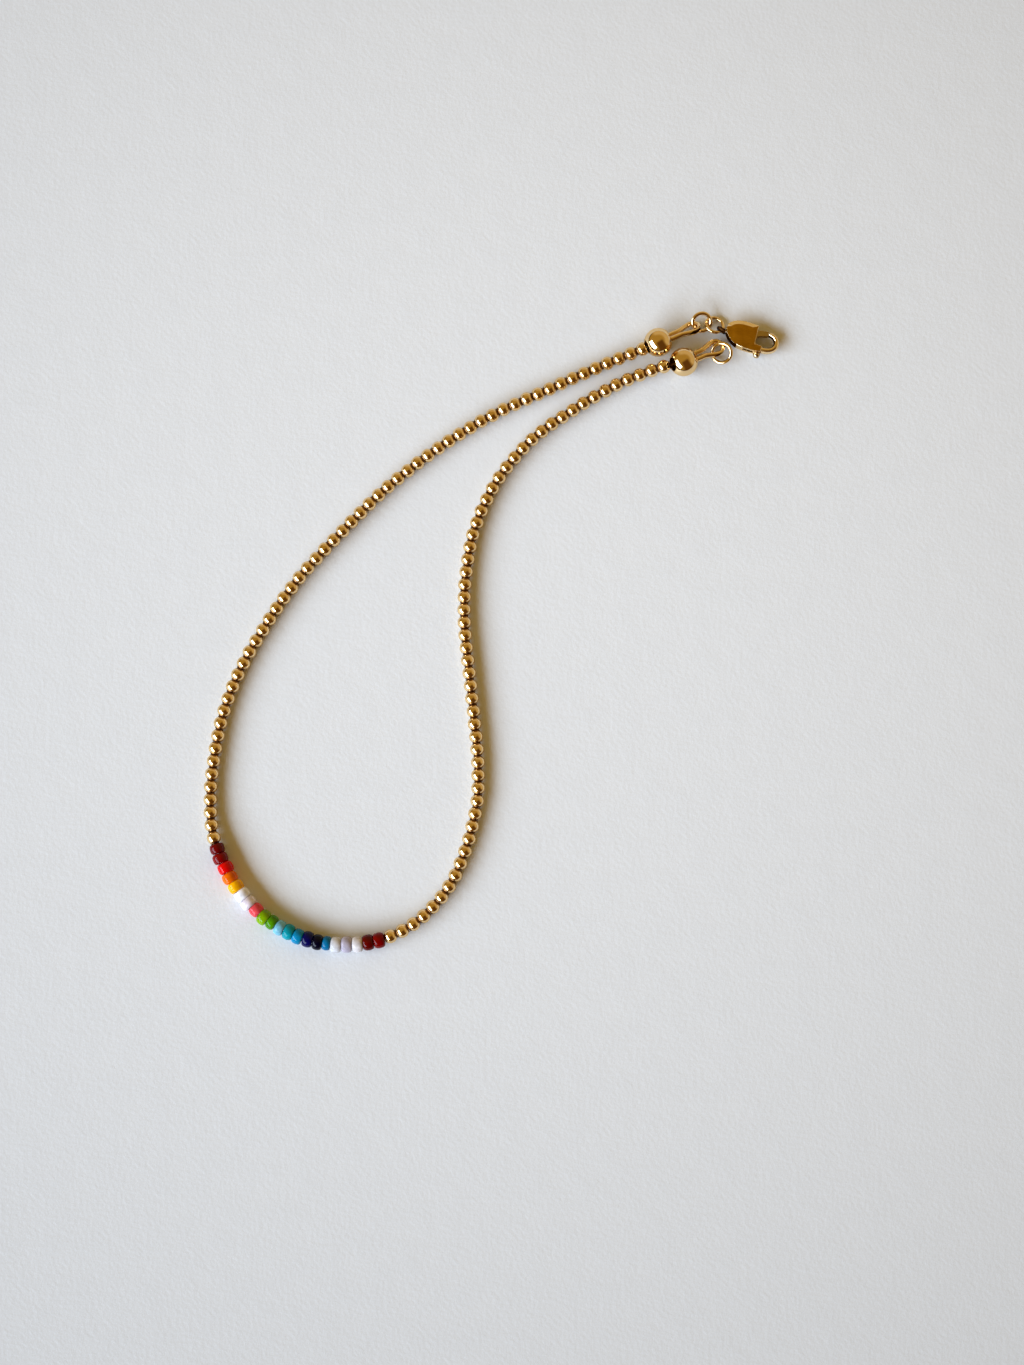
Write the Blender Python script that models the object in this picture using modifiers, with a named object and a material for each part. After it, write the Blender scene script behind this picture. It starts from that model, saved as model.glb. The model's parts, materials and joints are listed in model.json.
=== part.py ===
"""A beaded anklet, unclasped, lying open on a surface.

Two strands of small round gold beads run from the clasp and from the end ring to a short row of
coloured glass beads. All of them are strung on one wire. Each end of the wire is crushed in a crimp
tube inside a round cover and turns back through a horseshoe guard. Rings join the guards to the
lobster clasp and to the end ring.

All sizes are millimetres until they are scaled to metres. +X is to the right and +Y away from the
wearer's side of the table, and the surface is z = 0.
"""
import math

import bmesh
import bpy
from mathutils import Matrix, Vector

MM = 0.001

# Beads and wire
GOLD_BEAD_DIAMETER = 1.95
GOLD_BEADS_A_SIDE = 56
BEAD_LENGTH = 1.825               # less than the diameter, for the ends are flattened at the holes
BEAD_SHOULDER_PLACE = 0.29        # from a bead's middle, as a part of the pitch
BEAD_SHOULDER_RADIUS = 0.87
BEAD_NECK_RADIUS = 0.30           # where two beads and the wire in them meet
WIRE_RADIUS = 0.20
SEED_HOLE_RADIUS = 0.42
SEED_GAP = 0.09                   # air between two glass beads
WIRE_END_GAP = 0.06
STUB_START = 0.05                 # of a strand's wire, from the cover's middle

# Crimp covers, crimp tubes and wire guards
COVER_RADIUS = 2.06
COVER_WALL = 0.28
COVER_STRAND_HOLE = 0.94
COVER_GUARD_HOLE = 1.20
CRIMP_RADIUS = 0.62
CRIMP_BORE = 0.28
CRIMP_LENGTH = 1.5
CRIMP_FROM_CENTRE = 0.45          # towards the beads, from the cover's middle
AIM_REACH = 1.2                   # half the stretch of wire that a cover is lined up with
AIM_SHARE = 2                     # how much a cover follows its strand rather than its guard
GUARD_TUBE_RADIUS = 0.34
GUARD_BORE_RADIUS = 0.19
GUARD_LEG_OFFSET = 0.52           # of each leg from the guard's middle line
GUARD_LOOP_RADIUS = 1.05
GUARD_FLARE_LENGTH = 2.4
GUARD_LEG_LENGTH = 3.9
GROOVE_OFFSET = 0.20              # of the bore from the tube's middle, round the loop

# Distances along the wire from a cover's centre to the nearest bead's centre
COVER_TO_BEAD_CLASP_END = 2.46
COVER_TO_BEAD_RING_END = 2.95
RISE_AT_COVERS = 9.0              # length over which the wire climbs to a cover
RISE_AT_SEEDS = 5.5

# Lobster clasp, in its own frame: u from tail to nose, v across, w up from its middle plane
CLASP_HALF_THICKNESS = 1.0
CLASP_TAIL = (32.77, 43.86)       # the clasp's origin in plan
CLASP_HEADING = -14.5             # degrees from +X
PLATE_EDGE_ROUND = 0.30
HOOK_HALF_THICKNESS = 0.72
SLOT_HALF_HEIGHT = 0.46
LEVER_HALF_THICKNESS = 0.38
LEVER_EDGE_ROUND = 0.06
PIVOT = (3.9, 0.90)
PIN_RADIUS = 0.20
PIN_HOLE_RADIUS = 0.28
PIN_HALF_LENGTH = 0.84            # its ends stay under the clasp's faces, where they don't show
PIN_HOLE_HALF_LENGTH = 0.88
NUB_PLACE = (5.38, -2.06)
NUB_RADIUS = 0.50
EYE_PLACE = (-0.30, 0.25, -0.05)
EYE_RADIUS = 0.66
EYE_TUBE_RADIUS = 0.22
EYE_TURN = -18.9                  # degrees, so that the ring runs straight through it

# Where the anklet's middle lies in the plan below, so that the origin is under it
MIDDLE = (-0.458, 0.595)

# The wire's route in plan, from the clasp-end cover to the ring-end cover, chosen by eye
ROUTE = [
    (23.24, 42.11), (21.05, 41.20), (15.8, 39.2), (7.3, 35.4), (-1.0, 31.5), (-8.8, 26.6),
    (-16.1, 20.8), (-22.5, 14.4), (-28.6, 7.6), (-33.6, 0.2), (-37.2, -6.6), (-39.3, -13.0),
    (-40.4, -20.0), (-40.6, -24.5), (-40.15, -28.7), (-39.0, -32.1), (-37.0, -35.8),
    (-34.25, -39.1), (-30.75, -41.7), (-26.9, -43.4), (-22.6, -44.2), (-18.6, -44.0),
    (-15.4, -43.2), (-12.2, -41.6), (-9.1, -39.0), (-6.4, -35.5), (-4.8, -31.9), (-3.6, -28.0),
    (-2.8, -24.0), (-2.7, -19.0), (-3.3, -11.8), (-4.0, -5.6), (-4.6, 0.6), (-4.7, 5.0),
    (-4.3, 9.8), (-3.3, 14.8), (-0.4, 21.4), (4.4, 27.5), (10.6, 32.2), (18.7, 36.8),
    (24.0, 38.6), (26.87, 39.24),
]

# Glass beads from the left strand to the right one: name, colour (linear), outer diameter,
# length along the wire, and how far the bead sits to the left of the wire
SEEDS = [
    ("burgundy", (0.22, 0.004, 0.012), 2.16, 1.42, 0.03),
    ("dark_red", (0.30, 0.003, 0.010), 2.26, 1.48, -0.04),
    ("bright_red", (0.85, 0.006, 0.006), 2.30, 1.55, 0.07),
    ("orange", (0.88, 0.24, 0.004), 2.24, 1.50, -0.05),
    ("amber", (0.90, 0.50, 0.006), 2.30, 1.50, 0.00),
    ("white_a", (0.80, 0.76, 0.82), 2.34, 1.46, 0.05),
    ("white_b", (0.80, 0.76, 0.82), 2.30, 1.44, -0.04),
    ("coral", (0.74, 0.11, 0.14), 2.06, 1.50, 0.06),
    ("lime", (0.24, 0.46, 0.006), 2.32, 1.45, -0.06),
    ("green", (0.06, 0.30, 0.006), 2.20, 1.30, 0.05),
    ("pale_blue", (0.32, 0.60, 0.78), 2.28, 1.35, -0.03),
    ("teal", (0.010, 0.34, 0.38), 2.34, 1.45, 0.03),
    ("cerulean", (0.010, 0.32, 0.58), 2.30, 1.42, -0.04),
    ("navy", (0.004, 0.008, 0.20), 2.34, 1.48, 0.03),
    ("midnight", (0.003, 0.003, 0.03), 2.30, 1.38, -0.03),
    ("turquoise", (0.008, 0.27, 0.50), 2.10, 1.18, 0.05),
    ("white_c", (0.76, 0.72, 0.70), 2.32, 1.50, -0.04),
    ("lavender", (0.58, 0.52, 0.62), 2.36, 1.52, 0.04),
    ("white_d", (0.76, 0.70, 0.72), 2.32, 1.52, -0.03),
    ("dark_red_a", (0.22, 0.002, 0.004), 2.30, 1.54, 0.03),
    ("dark_red_b", (0.30, 0.002, 0.004), 2.28, 1.56, -0.02),
]
SEED_AXIS_HEIGHT = max(diameter for _, _, diameter, _, _ in SEEDS) / 2

# Wire guards: cover's place, loop's middle, and roll about the guard's own line in degrees
GUARDS = {
    "wire_guard_clasp_end": ((23.24, 42.11, 2.30), (28.21, 44.46, 1.21), -41.2),
    "wire_guard_ring_end": ((26.87, 39.24, 2.30), (31.65, 41.59, 1.10), -12.2),
}

# Rings: middle, radius to the wire's middle, wire radius, heading, roll and pitch in degrees
RINGS = {
    "jump_ring_guard": ((29.57, 45.30, 1.215), 1.325, 0.275, 0.0, 29.1, -8.3),
    "jump_ring_clasp": ((31.48, 44.99, 0.84), 1.28, 0.25, -20.0, -24.8, -4.1),
    "end_ring": ((32.43, 40.79, 1.13), 1.40, 0.26, 20.0, 9.7, 22.4),
}

# The clasp's body in plan: an uneven oval, cut square at its window, with the root of the hook
BODY_OUTLINE = [
    (4.7, 1.98), (4.0, 2.12), (3.2, 2.19), (2.4, 2.19), (1.7, 2.10), (1.1, 1.90), (0.62, 1.60),
    (0.34, 1.20), (0.22, 0.75), (0.24, 0.30), (0.45, -0.20), (0.82, -0.68), (1.26, -1.08),
    (1.8, -1.40), (2.44, -1.60), (3.1, -1.71), (3.95, -1.76), (4.84, -1.77), (5.8, -1.66),
    (5.8, -0.80), (4.7, -0.72),
]

# The fixed hook's middle line: u, v and half its width in plan
HOOK_LINE = [
    (4.6, -1.16, 0.45), (5.66, -1.20, 0.44), (6.6, -1.16, 0.43), (7.38, -0.83, 0.42),
    (7.78, -0.16, 0.41), (7.68, 0.53, 0.39), (7.18, 1.08, 0.37), (6.46, 1.30, 0.35),
]
HOOK_SAMPLES = 12

# The lever's outline round the pivot: gate on the right, arm to the nub below
LEVER_OUTLINE = [
    (6.36, 0.84), (6.36, 1.62), (5.3, 1.55), (4.5, 1.40), (3.9, 1.48), (3.49, 1.31), (3.32, 0.90),
    (3.49, 0.49), (3.98, -0.10), (5.06, -2.10), (5.60, -1.86), (4.76, -0.20), (4.92, 0.48),
    (5.4, 0.66),
]

# The slot through the clasp's thickness in which the lever swings
SLOT_OUTLINE = [(3.2, 1.60), (5.3, 1.60), (5.3, -0.45), (5.9, -0.8), (5.9, -2.6), (3.2, -2.6)]

# Sides and segments of round pieces
SEED_SEGMENTS = 12
COVER_SEGMENTS = 20
COVER_OUTER_STEPS = 7
COVER_INNER_STEPS = 3
CRIMP_SEGMENTS = 10
RING_SEGMENTS = 16
RING_WIRE_SIDES = 6
TEN_SIDES = 3                     # bevel resolution of a tube with 10 sides
EIGHT_SIDES = 2

GOLD = ("gold", (0.72, 0.44, 0.15), 1.0, 0.22)
SATIN_GOLD = ("satin_gold", (0.58, 0.34, 0.09), 1.0, 0.42)
COATED_WIRE = ("coated_wire", (0.45, 0.42, 0.38), 0.6, 0.35)


def clear_scene():
    for old in list(bpy.data.objects):
        bpy.data.objects.remove(old, do_unlink=True)


def new_collection(name):
    collection = bpy.data.collections.new(name)
    bpy.context.scene.collection.children.link(collection)
    return collection


def finish_material(finish):
    """A Principled material from its name, colour, metallic value and roughness."""
    name, colour, metallic, roughness = finish
    material = bpy.data.materials.get(name)
    if material is None:
        material = bpy.data.materials.new(name)
        material.use_nodes = True
        shader = material.node_tree.nodes["Principled BSDF"]
        shader.inputs["Base Color"].default_value = (*colour, 1.0)
        shader.inputs["Metallic"].default_value = metallic
        shader.inputs["Roughness"].default_value = roughness
    return material


def add(name, data, finish, parent, matrix=None):
    """Put mesh or curve data in the scene as one named sub-part."""
    piece = bpy.data.objects.new(name, data)
    PARTS.objects.link(piece)
    piece.parent = parent
    if matrix is not None:
        piece.matrix_local = matrix
    data.materials.append(finish_material(finish))
    return piece


def make_tool(piece):
    """Keep a piece only as an operand of a Boolean."""
    PARTS.objects.unlink(piece)
    TOOLS.objects.link(piece)
    piece.hide_render = True
    piece.display_type = 'WIRE'
    return piece


def combine(piece, tool, operation):
    boolean = piece.modifiers.new(tool.name, 'BOOLEAN')
    boolean.solver = 'EXACT'
    boolean.operation = operation
    boolean.object = tool


def smooth_shading(mesh, angle=40):
    mesh.shade_smooth()
    mesh.set_sharp_from_angle(angle=math.radians(angle))


def as_mesh(curve_piece):
    """Swap a curve for its welded mesh, so that it can be cut or joined."""
    bpy.context.view_layer.update()
    evaluated = curve_piece.evaluated_get(bpy.context.evaluated_depsgraph_get())
    mesh = bpy.data.meshes.new_from_object(evaluated)
    form = bmesh.new()
    form.from_mesh(mesh)
    bmesh.ops.remove_doubles(form, verts=form.verts, dist=1e-6)
    bmesh.ops.dissolve_limit(form, angle_limit=math.radians(0.5), verts=form.verts, edges=form.edges)
    form.to_mesh(mesh)
    form.free()
    piece = bpy.data.objects.new(curve_piece.name, mesh)
    PARTS.objects.link(piece)
    piece.parent = curve_piece.parent
    piece.matrix_local = curve_piece.matrix_local.copy()
    name = curve_piece.name
    bpy.data.objects.remove(curve_piece, do_unlink=True)
    piece.name = name
    return piece


def smooth_step(part):
    part = min(max(part, 0.0), 1.0)
    return part * part * (3 - 2 * part)


def curve_through(points, steps=16):
    """A centripetal Catmull-Rom curve through the given points."""
    line = [points[0] * 2 - points[1]] + points + [points[-1] * 2 - points[-2]]
    curve = []
    for p0, p1, p2, p3 in zip(line, line[1:], line[2:], line[3:]):
        t1 = (p1 - p0).length ** 0.5
        t2 = t1 + (p2 - p1).length ** 0.5
        t3 = t2 + (p3 - p2).length ** 0.5
        for step in range(steps):
            t = t1 + (t2 - t1) * step / steps
            a1 = p0.lerp(p1, t / t1)
            a2 = p1.lerp(p2, (t - t1) / (t2 - t1))
            a3 = p2.lerp(p3, (t - t2) / (t3 - t2))
            b1 = a1.lerp(a2, t / t2)
            b2 = a2.lerp(a3, (t - t1) / (t3 - t1))
            curve.append(b1.lerp(b2, (t - t1) / (t2 - t1)))
    curve.append(points[-1].copy())
    return curve


class Line:
    """A curve that can be asked for the point or the direction at a distance along it."""

    def __init__(self, points):
        self.points = points
        self.reached = [0.0]
        for start, end in zip(points, points[1:]):
            self.reached.append(self.reached[-1] + (end - start).length)
        self.length = self.reached[-1]

    def at(self, distance):
        index = 1
        while index < len(self.points) - 1 and self.reached[index] < distance:
            index += 1
        start, end = self.reached[index - 1], self.reached[index]
        return self.points[index - 1].lerp(self.points[index], (distance - start) / (end - start))

    def direction(self, distance, reach=0.4):
        low = max(distance - reach, 0.0)
        high = min(distance + reach, self.length)
        return (self.at(high) - self.at(low)).normalized()


def strand_length(cover_to_bead):
    return cover_to_bead + (GOLD_BEADS_A_SIDE - 0.5) * BEAD_LENGTH


def wire_line():
    """The wire's middle line: the route in plan, lifted to where its beads and covers hold it."""
    plan = Line(curve_through([Vector((x, y, 0.0)) for x, y in ROUTE]))
    seeds_start = strand_length(COVER_TO_BEAD_CLASP_END)
    seeds_end = plan.length - strand_length(COVER_TO_BEAD_RING_END)
    low = GOLD_BEAD_DIAMETER / 2
    lifted = []
    for point, reached in zip(plan.points, plan.reached):
        to_cover = min(reached, plan.length - reached)
        to_seeds = max(seeds_start - reached, reached - seeds_end)
        height = low
        height += (COVER_RADIUS - low) * smooth_step(1 - to_cover / RISE_AT_COVERS)
        height += (SEED_AXIS_HEIGHT - low) * smooth_step(1 - to_seeds / RISE_AT_SEEDS)
        lifted.append(Vector((point.x, point.y, height)))
    return Line(lifted)


def tube(name, points, finish, parent, radius=1.0, radii=None, sides=TEN_SIDES, matrix=None):
    """A capped tube along the points, all in millimetres, with a radius for each point if given."""
    curve = bpy.data.curves.new(name, 'CURVE')
    curve.dimensions = '3D'
    curve.fill_mode = 'FULL'
    curve.bevel_mode = 'ROUND'
    curve.bevel_depth = radius * MM
    curve.bevel_resolution = sides
    curve.use_fill_caps = True
    spline = curve.splines.new('POLY')
    spline.points.add(len(points) - 1)
    for index, point in enumerate(points):
        spline.points[index].co = (*(point * MM), 1.0)
        spline.points[index].radius = radii[index] if radii else 1.0
    return add(name, curve, finish, parent, matrix)


def flat_form(name, outline, half_height, finish, parent, matrix):
    """A flat outline in plan with the given half thickness, as a mesh."""
    curve = bpy.data.curves.new(name, 'CURVE')
    curve.dimensions = '2D'
    curve.fill_mode = 'BOTH'
    curve.extrude = half_height * MM
    spline = curve.splines.new('POLY')
    spline.points.add(len(outline) - 1)
    for index, (u, v) in enumerate(outline):
        spline.points[index].co = (u * MM, v * MM, 0.0, 1.0)
    spline.use_cyclic_u = True
    return as_mesh(add(name, curve, finish, parent, matrix))


def turned_form(name, profile, segments, finish, parent, matrix):
    """A closed profile of (radius, height) in millimetres, turned about its Z axis."""
    mesh = bpy.data.meshes.new(name)
    corners = [(radius * MM, 0.0, height * MM) for radius, height in profile]
    edges = [(index, (index + 1) % len(corners)) for index in range(len(corners))]
    mesh.from_pydata(corners, edges, [])
    piece = add(name, mesh, finish, parent, matrix)
    screw = piece.modifiers.new("turned", 'SCREW')
    screw.axis = 'Z'
    screw.steps = segments
    screw.render_steps = segments
    screw.use_merge_vertices = True
    screw.merge_threshold = 1e-6
    screw.use_smooth_shade = True
    return piece


def turn_towards(place, direction):
    """The matrix that stands a turned form at a place with its axis along a direction."""
    turn = direction.to_track_quat('Z', 'Y').to_matrix().to_4x4()
    return Matrix.Translation(place * MM) @ turn


def tilted_frame(heading, pitch, roll):
    """Forward, side and normal directions of something headed, pitched and rolled, in radians."""
    forward = Vector((math.cos(heading) * math.cos(pitch), math.sin(heading) * math.cos(pitch),
                      math.sin(pitch)))
    level_side = Vector((-math.sin(heading), math.cos(heading), 0.0))
    side = level_side * math.cos(roll) + forward.cross(level_side) * math.sin(roll)
    return forward, side, forward.cross(side)


def gold_strand(name, wire, first, pitch, stub_at, parent):
    """A run of gold beads fused at their necks, with a stub of wire that reaches into the cover."""
    stations = []
    for number in range(GOLD_BEADS_A_SIDE):
        centre = first + number * pitch
        stations.append((centre - pitch / 2, BEAD_NECK_RADIUS))
        stations.append((centre - pitch * BEAD_SHOULDER_PLACE, BEAD_SHOULDER_RADIUS))
        stations.append((centre, GOLD_BEAD_DIAMETER / 2))
        stations.append((centre + pitch * BEAD_SHOULDER_PLACE, BEAD_SHOULDER_RADIUS))
    last_neck = first + (GOLD_BEADS_A_SIDE - 0.5) * pitch
    stations.append((last_neck, BEAD_NECK_RADIUS))
    if stub_at < first:
        neck = first - pitch / 2
        stub = [(stub_at, WIRE_RADIUS), (neck - WIRE_RADIUS, WIRE_RADIUS)]
        stations = stub + stations
    else:
        stub = [(last_neck + WIRE_RADIUS, WIRE_RADIUS), (stub_at, WIRE_RADIUS)]
        stations = stations + stub
    points = [wire.at(distance) for distance, _ in stations]
    radii = [radius for _, radius in stations]
    return tube(name, points, GOLD, parent, radii=radii)


def seed_profile(diameter, length):
    """A drilled glass bead with rounded ends, from the top of its outer side round to its hole."""
    outer = diameter / 2
    half = (length - SEED_GAP) / 2
    shoulder = SEED_HOLE_RADIUS + (outer - SEED_HOLE_RADIUS) * 0.45
    return [(shoulder, half), (outer, half * 0.42), (outer, -half * 0.42), (shoulder, -half),
            (SEED_HOLE_RADIUS, 0.0)]


def glass_beads(wire, start, parent):
    reached = start
    for number, (colour_name, colour, diameter, length, side) in enumerate(SEEDS, start=1):
        name = f"seed_{number:02d}_{colour_name}"
        direction = wire.direction(reached + length / 2)
        to_left = Vector((-direction.y, direction.x, 0.0)).normalized()
        place = wire.at(reached + length / 2) + to_left * side
        glass = (f"glass_{colour_name}", colour, 0.0, 0.12)
        profile = seed_profile(diameter, length)
        turned_form(name, profile, SEED_SEGMENTS, glass, parent, turn_towards(place, direction))
        reached += length


def cover_profile():
    """A hollow ball cut open at both ends, the guard's hole at the top."""
    inner = COVER_RADIUS - COVER_WALL
    profile = []
    for radius, steps, down in ((COVER_RADIUS, COVER_OUTER_STEPS, True),
                                (inner, COVER_INNER_STEPS, False)):
        top = math.asin(COVER_GUARD_HOLE / radius)
        bottom = math.pi - math.asin(COVER_STRAND_HOLE / radius)
        for step in range(steps + 1):
            part = step / steps if down else 1 - step / steps
            angle = top + (bottom - top) * part
            profile.append((radius * math.sin(angle), radius * math.cos(angle)))
    return profile


def crimp_end(end, wire, at_start, parent):
    """The round cover and the crimp tube in it, on the wire's last stretch."""
    distance = 0.0 if at_start else wire.length
    inwards = 1 if at_start else -1
    centre = wire.at(distance)
    outwards = wire.direction(distance + inwards * AIM_REACH, AIM_REACH) * -inwards
    start, loop, _ = GUARDS[f"wire_guard_{end}"]
    guard_way = (Vector(loop) - Vector(start)).normalized()
    turned_form(f"crimp_cover_{end}", cover_profile(), COVER_SEGMENTS, GOLD, parent,
                turn_towards(centre, (outwards * AIM_SHARE + guard_way).normalized()))
    half = CRIMP_LENGTH / 2
    profile = [(CRIMP_RADIUS, half), (CRIMP_RADIUS, -half), (CRIMP_BORE, -half), (CRIMP_BORE, half)]
    middle = wire.at(distance + inwards * CRIMP_FROM_CENTRE)
    turned_form(f"crimp_tube_{end}", profile, CRIMP_SEGMENTS, GOLD, parent,
                turn_towards(middle, outwards))


def guard_line(outward, extra_length):
    """The guard's middle line in its own plane: leg, flare, half circle, flare and leg.

    The line is moved outward round the loop by the given amount, as the open groove is.
    """
    side = []
    leg_steps = [GUARD_LEG_LENGTH + extra_length, GUARD_FLARE_LENGTH]
    flare_steps = 4
    leg_steps += [GUARD_FLARE_LENGTH * (1 - step / flare_steps) for step in range(1, flare_steps)]
    for back in leg_steps:
        part = smooth_step(1 - back / GUARD_FLARE_LENGTH)
        offset = GUARD_LEG_OFFSET + (GUARD_LOOP_RADIUS - GUARD_LEG_OFFSET) * part
        side.append((-back, offset + outward * smooth_step(part * 2)))
    arc_steps = 8
    radius = GUARD_LOOP_RADIUS + outward
    arc = [(radius * math.sin(math.pi * step / arc_steps), radius * math.cos(math.pi * step / arc_steps))
           for step in range(arc_steps + 1)]
    return side + arc + [(along, -offset) for along, offset in reversed(side)]


def wire_guard(name, parent):
    """A horseshoe of two tubes whose bend is an open channel on its outer side."""
    start, loop, roll = GUARDS[name]
    start, loop = Vector(start), Vector(loop)
    reach = loop - start
    heading = math.atan2(reach.y, reach.x)
    pitch = math.atan2(reach.z, math.hypot(reach.x, reach.y))
    forward, side, _ = tilted_frame(heading, pitch, math.radians(roll))

    def placed(line):
        return [loop + forward * along + side * offset for along, offset in line]

    guard = as_mesh(tube(name, placed(guard_line(0.0, 0.0)), GOLD, parent,
                         radius=GUARD_TUBE_RADIUS, sides=EIGHT_SIDES))
    bore = tube(name + "_bore", placed(guard_line(GROOVE_OFFSET, 0.2)), GOLD, parent,
                radius=GUARD_BORE_RADIUS, sides=EIGHT_SIDES)
    combine(guard, make_tool(as_mesh(bore)), 'DIFFERENCE')
    smooth_shading(guard.data)


def ring(name, parent):
    """A round wire ring, tilted as it lies against its neighbours."""
    middle, radius, wire_radius, heading, roll, pitch = RINGS[name]
    forward, side, normal = tilted_frame(math.radians(heading), math.radians(pitch), math.radians(roll))
    turn = Matrix((forward, side, normal)).transposed().to_4x4()
    torus(name, radius, wire_radius, parent, Matrix.Translation(Vector(middle) * MM) @ turn)


def torus(name, radius, wire_radius, parent, matrix):
    bpy.ops.mesh.primitive_torus_add(major_segments=RING_SEGMENTS, minor_segments=RING_WIRE_SIDES,
                                     major_radius=radius * MM, minor_radius=wire_radius * MM)
    made = bpy.context.object
    mesh = made.data
    bpy.data.objects.remove(made, do_unlink=True)
    smooth_shading(mesh, 60)
    return add(name, mesh, GOLD, parent, matrix)


def pin_form(name, half_length, radius, parent):
    """A round pin on the pivot's axis, in the clasp's frame."""
    form = bmesh.new()
    bmesh.ops.create_cone(form, cap_ends=True, segments=12, radius1=radius * MM, radius2=radius * MM,
                          depth=2 * half_length * MM)
    mesh = bpy.data.meshes.new(name)
    form.to_mesh(mesh)
    form.free()
    smooth_shading(mesh)
    place = Matrix.Translation(Vector((*PIVOT, 0.0)) * MM)
    return add(name, mesh, GOLD, parent, place)


def clasp_body(clasp):
    """Plate, fixed hook and tail eye in one casting, slotted for the lever and bored for its pin."""
    here = Matrix.Identity(4)
    body = flat_form("clasp_body", BODY_OUTLINE, CLASP_HALF_THICKNESS, SATIN_GOLD, clasp, here)
    edges = body.modifiers.new("rounded_edges", 'BEVEL')
    edges.width = PLATE_EDGE_ROUND * MM
    edges.segments = 2
    edges.limit_method = 'ANGLE'
    edges.angle_limit = math.radians(50)

    hook_line = Line(curve_through([Vector(station) for station in HOOK_LINE]))
    stations = [hook_line.at(hook_line.length * step / (HOOK_SAMPLES - 1))
                for step in range(HOOK_SAMPLES)]
    thicken = Matrix.Diagonal((1.0, 1.0, HOOK_HALF_THICKNESS / HOOK_LINE[0][2], 1.0))
    hook = tube("clasp_hook_form", [Vector((s.x, s.y, 0.0)) for s in stations], SATIN_GOLD, clasp,
                radii=[s.z for s in stations], matrix=thicken)
    combine(body, make_tool(as_mesh(hook)), 'UNION')

    eye_turn = Matrix.Rotation(math.radians(EYE_TURN), 4, 'Z') @ Matrix.Rotation(math.pi / 2, 4, 'X')
    eye = torus("clasp_eye_form", EYE_RADIUS, EYE_TUBE_RADIUS, clasp,
                Matrix.Translation(Vector(EYE_PLACE) * MM) @ eye_turn)
    combine(body, make_tool(eye), 'UNION')

    slot = flat_form("clasp_slot_cutter", SLOT_OUTLINE, SLOT_HALF_HEIGHT, SATIN_GOLD, clasp, here)
    combine(body, make_tool(slot), 'DIFFERENCE')
    bore = pin_form("clasp_pin_bore", PIN_HOLE_HALF_LENGTH, PIN_HOLE_RADIUS, clasp)
    combine(body, make_tool(bore), 'DIFFERENCE')


def clasp_lever(clasp):
    """Gate, boss, arm and thumb nub in one piece, whose origin is on the pivot's axis."""
    at_pivot = Matrix.Translation(Vector((*PIVOT, 0.0)) * MM)
    outline = [(u - PIVOT[0], v - PIVOT[1]) for u, v in LEVER_OUTLINE]
    lever = flat_form("clasp_lever", outline, LEVER_HALF_THICKNESS, GOLD, clasp, at_pivot)
    edges = lever.modifiers.new("rounded_edges", 'BEVEL')
    edges.width = LEVER_EDGE_ROUND * MM
    edges.segments = 1
    edges.limit_method = 'ANGLE'
    edges.angle_limit = math.radians(60)

    form = bmesh.new()
    bmesh.ops.create_uvsphere(form, u_segments=12, v_segments=8, radius=NUB_RADIUS * MM)
    mesh = bpy.data.meshes.new("clasp_nub_form")
    form.to_mesh(mesh)
    form.free()
    nub = add("clasp_nub_form", mesh, GOLD, clasp, Matrix.Translation(Vector((*NUB_PLACE, 0.0)) * MM))
    combine(lever, make_tool(nub), 'UNION')
    bore = pin_form("lever_pin_bore", CLASP_HALF_THICKNESS, PIN_HOLE_RADIUS, clasp)
    combine(lever, make_tool(bore), 'DIFFERENCE')


def build_anklet():
    anklet = bpy.data.objects.new("anklet_middle", None)
    PARTS.objects.link(anklet)
    anklet.location = (-MIDDLE[0] * MM, -MIDDLE[1] * MM, 0.0)

    wire = wire_line()
    seeds_length = sum(length for _, _, _, length, _ in SEEDS)
    beaded = wire.length - COVER_TO_BEAD_CLASP_END - COVER_TO_BEAD_RING_END - seeds_length
    pitch = beaded / (2 * GOLD_BEADS_A_SIDE - 1)
    seeds_start = COVER_TO_BEAD_CLASP_END + (GOLD_BEADS_A_SIDE - 0.5) * pitch
    seeds_end = seeds_start + seeds_length

    gold_strand("gold_strand_left", wire, COVER_TO_BEAD_CLASP_END, pitch, STUB_START, anklet)
    gold_strand("gold_strand_right", wire, seeds_end + pitch / 2, pitch,
                wire.length - STUB_START, anklet)
    glass_beads(wire, seeds_start, anklet)
    steps = len(SEEDS) * 2 // 3
    first, last = seeds_start + WIRE_END_GAP, seeds_end - WIRE_END_GAP
    bare_wire = [wire.at(first + (last - first) * step / steps) for step in range(steps + 1)]
    tube("bead_wire", bare_wire, COATED_WIRE, anklet, radius=WIRE_RADIUS, sides=EIGHT_SIDES)

    crimp_end("clasp_end", wire, True, anklet)
    crimp_end("ring_end", wire, False, anklet)
    for name in GUARDS:
        wire_guard(name, anklet)
    for name in RINGS:
        ring(name, anklet)

    clasp = bpy.data.objects.new("clasp_frame", None)
    PARTS.objects.link(clasp)
    clasp.parent = anklet
    clasp.location = Vector((*CLASP_TAIL, CLASP_HALF_THICKNESS)) * MM
    clasp.rotation_euler = (0.0, 0.0, math.radians(CLASP_HEADING))
    clasp_body(clasp)
    clasp_lever(clasp)
    pin_form("clasp_pin", PIN_HALF_LENGTH, PIN_RADIUS, clasp)


clear_scene()
PARTS = new_collection("anklet")
TOOLS = new_collection("cutters")
build_anklet()
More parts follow.
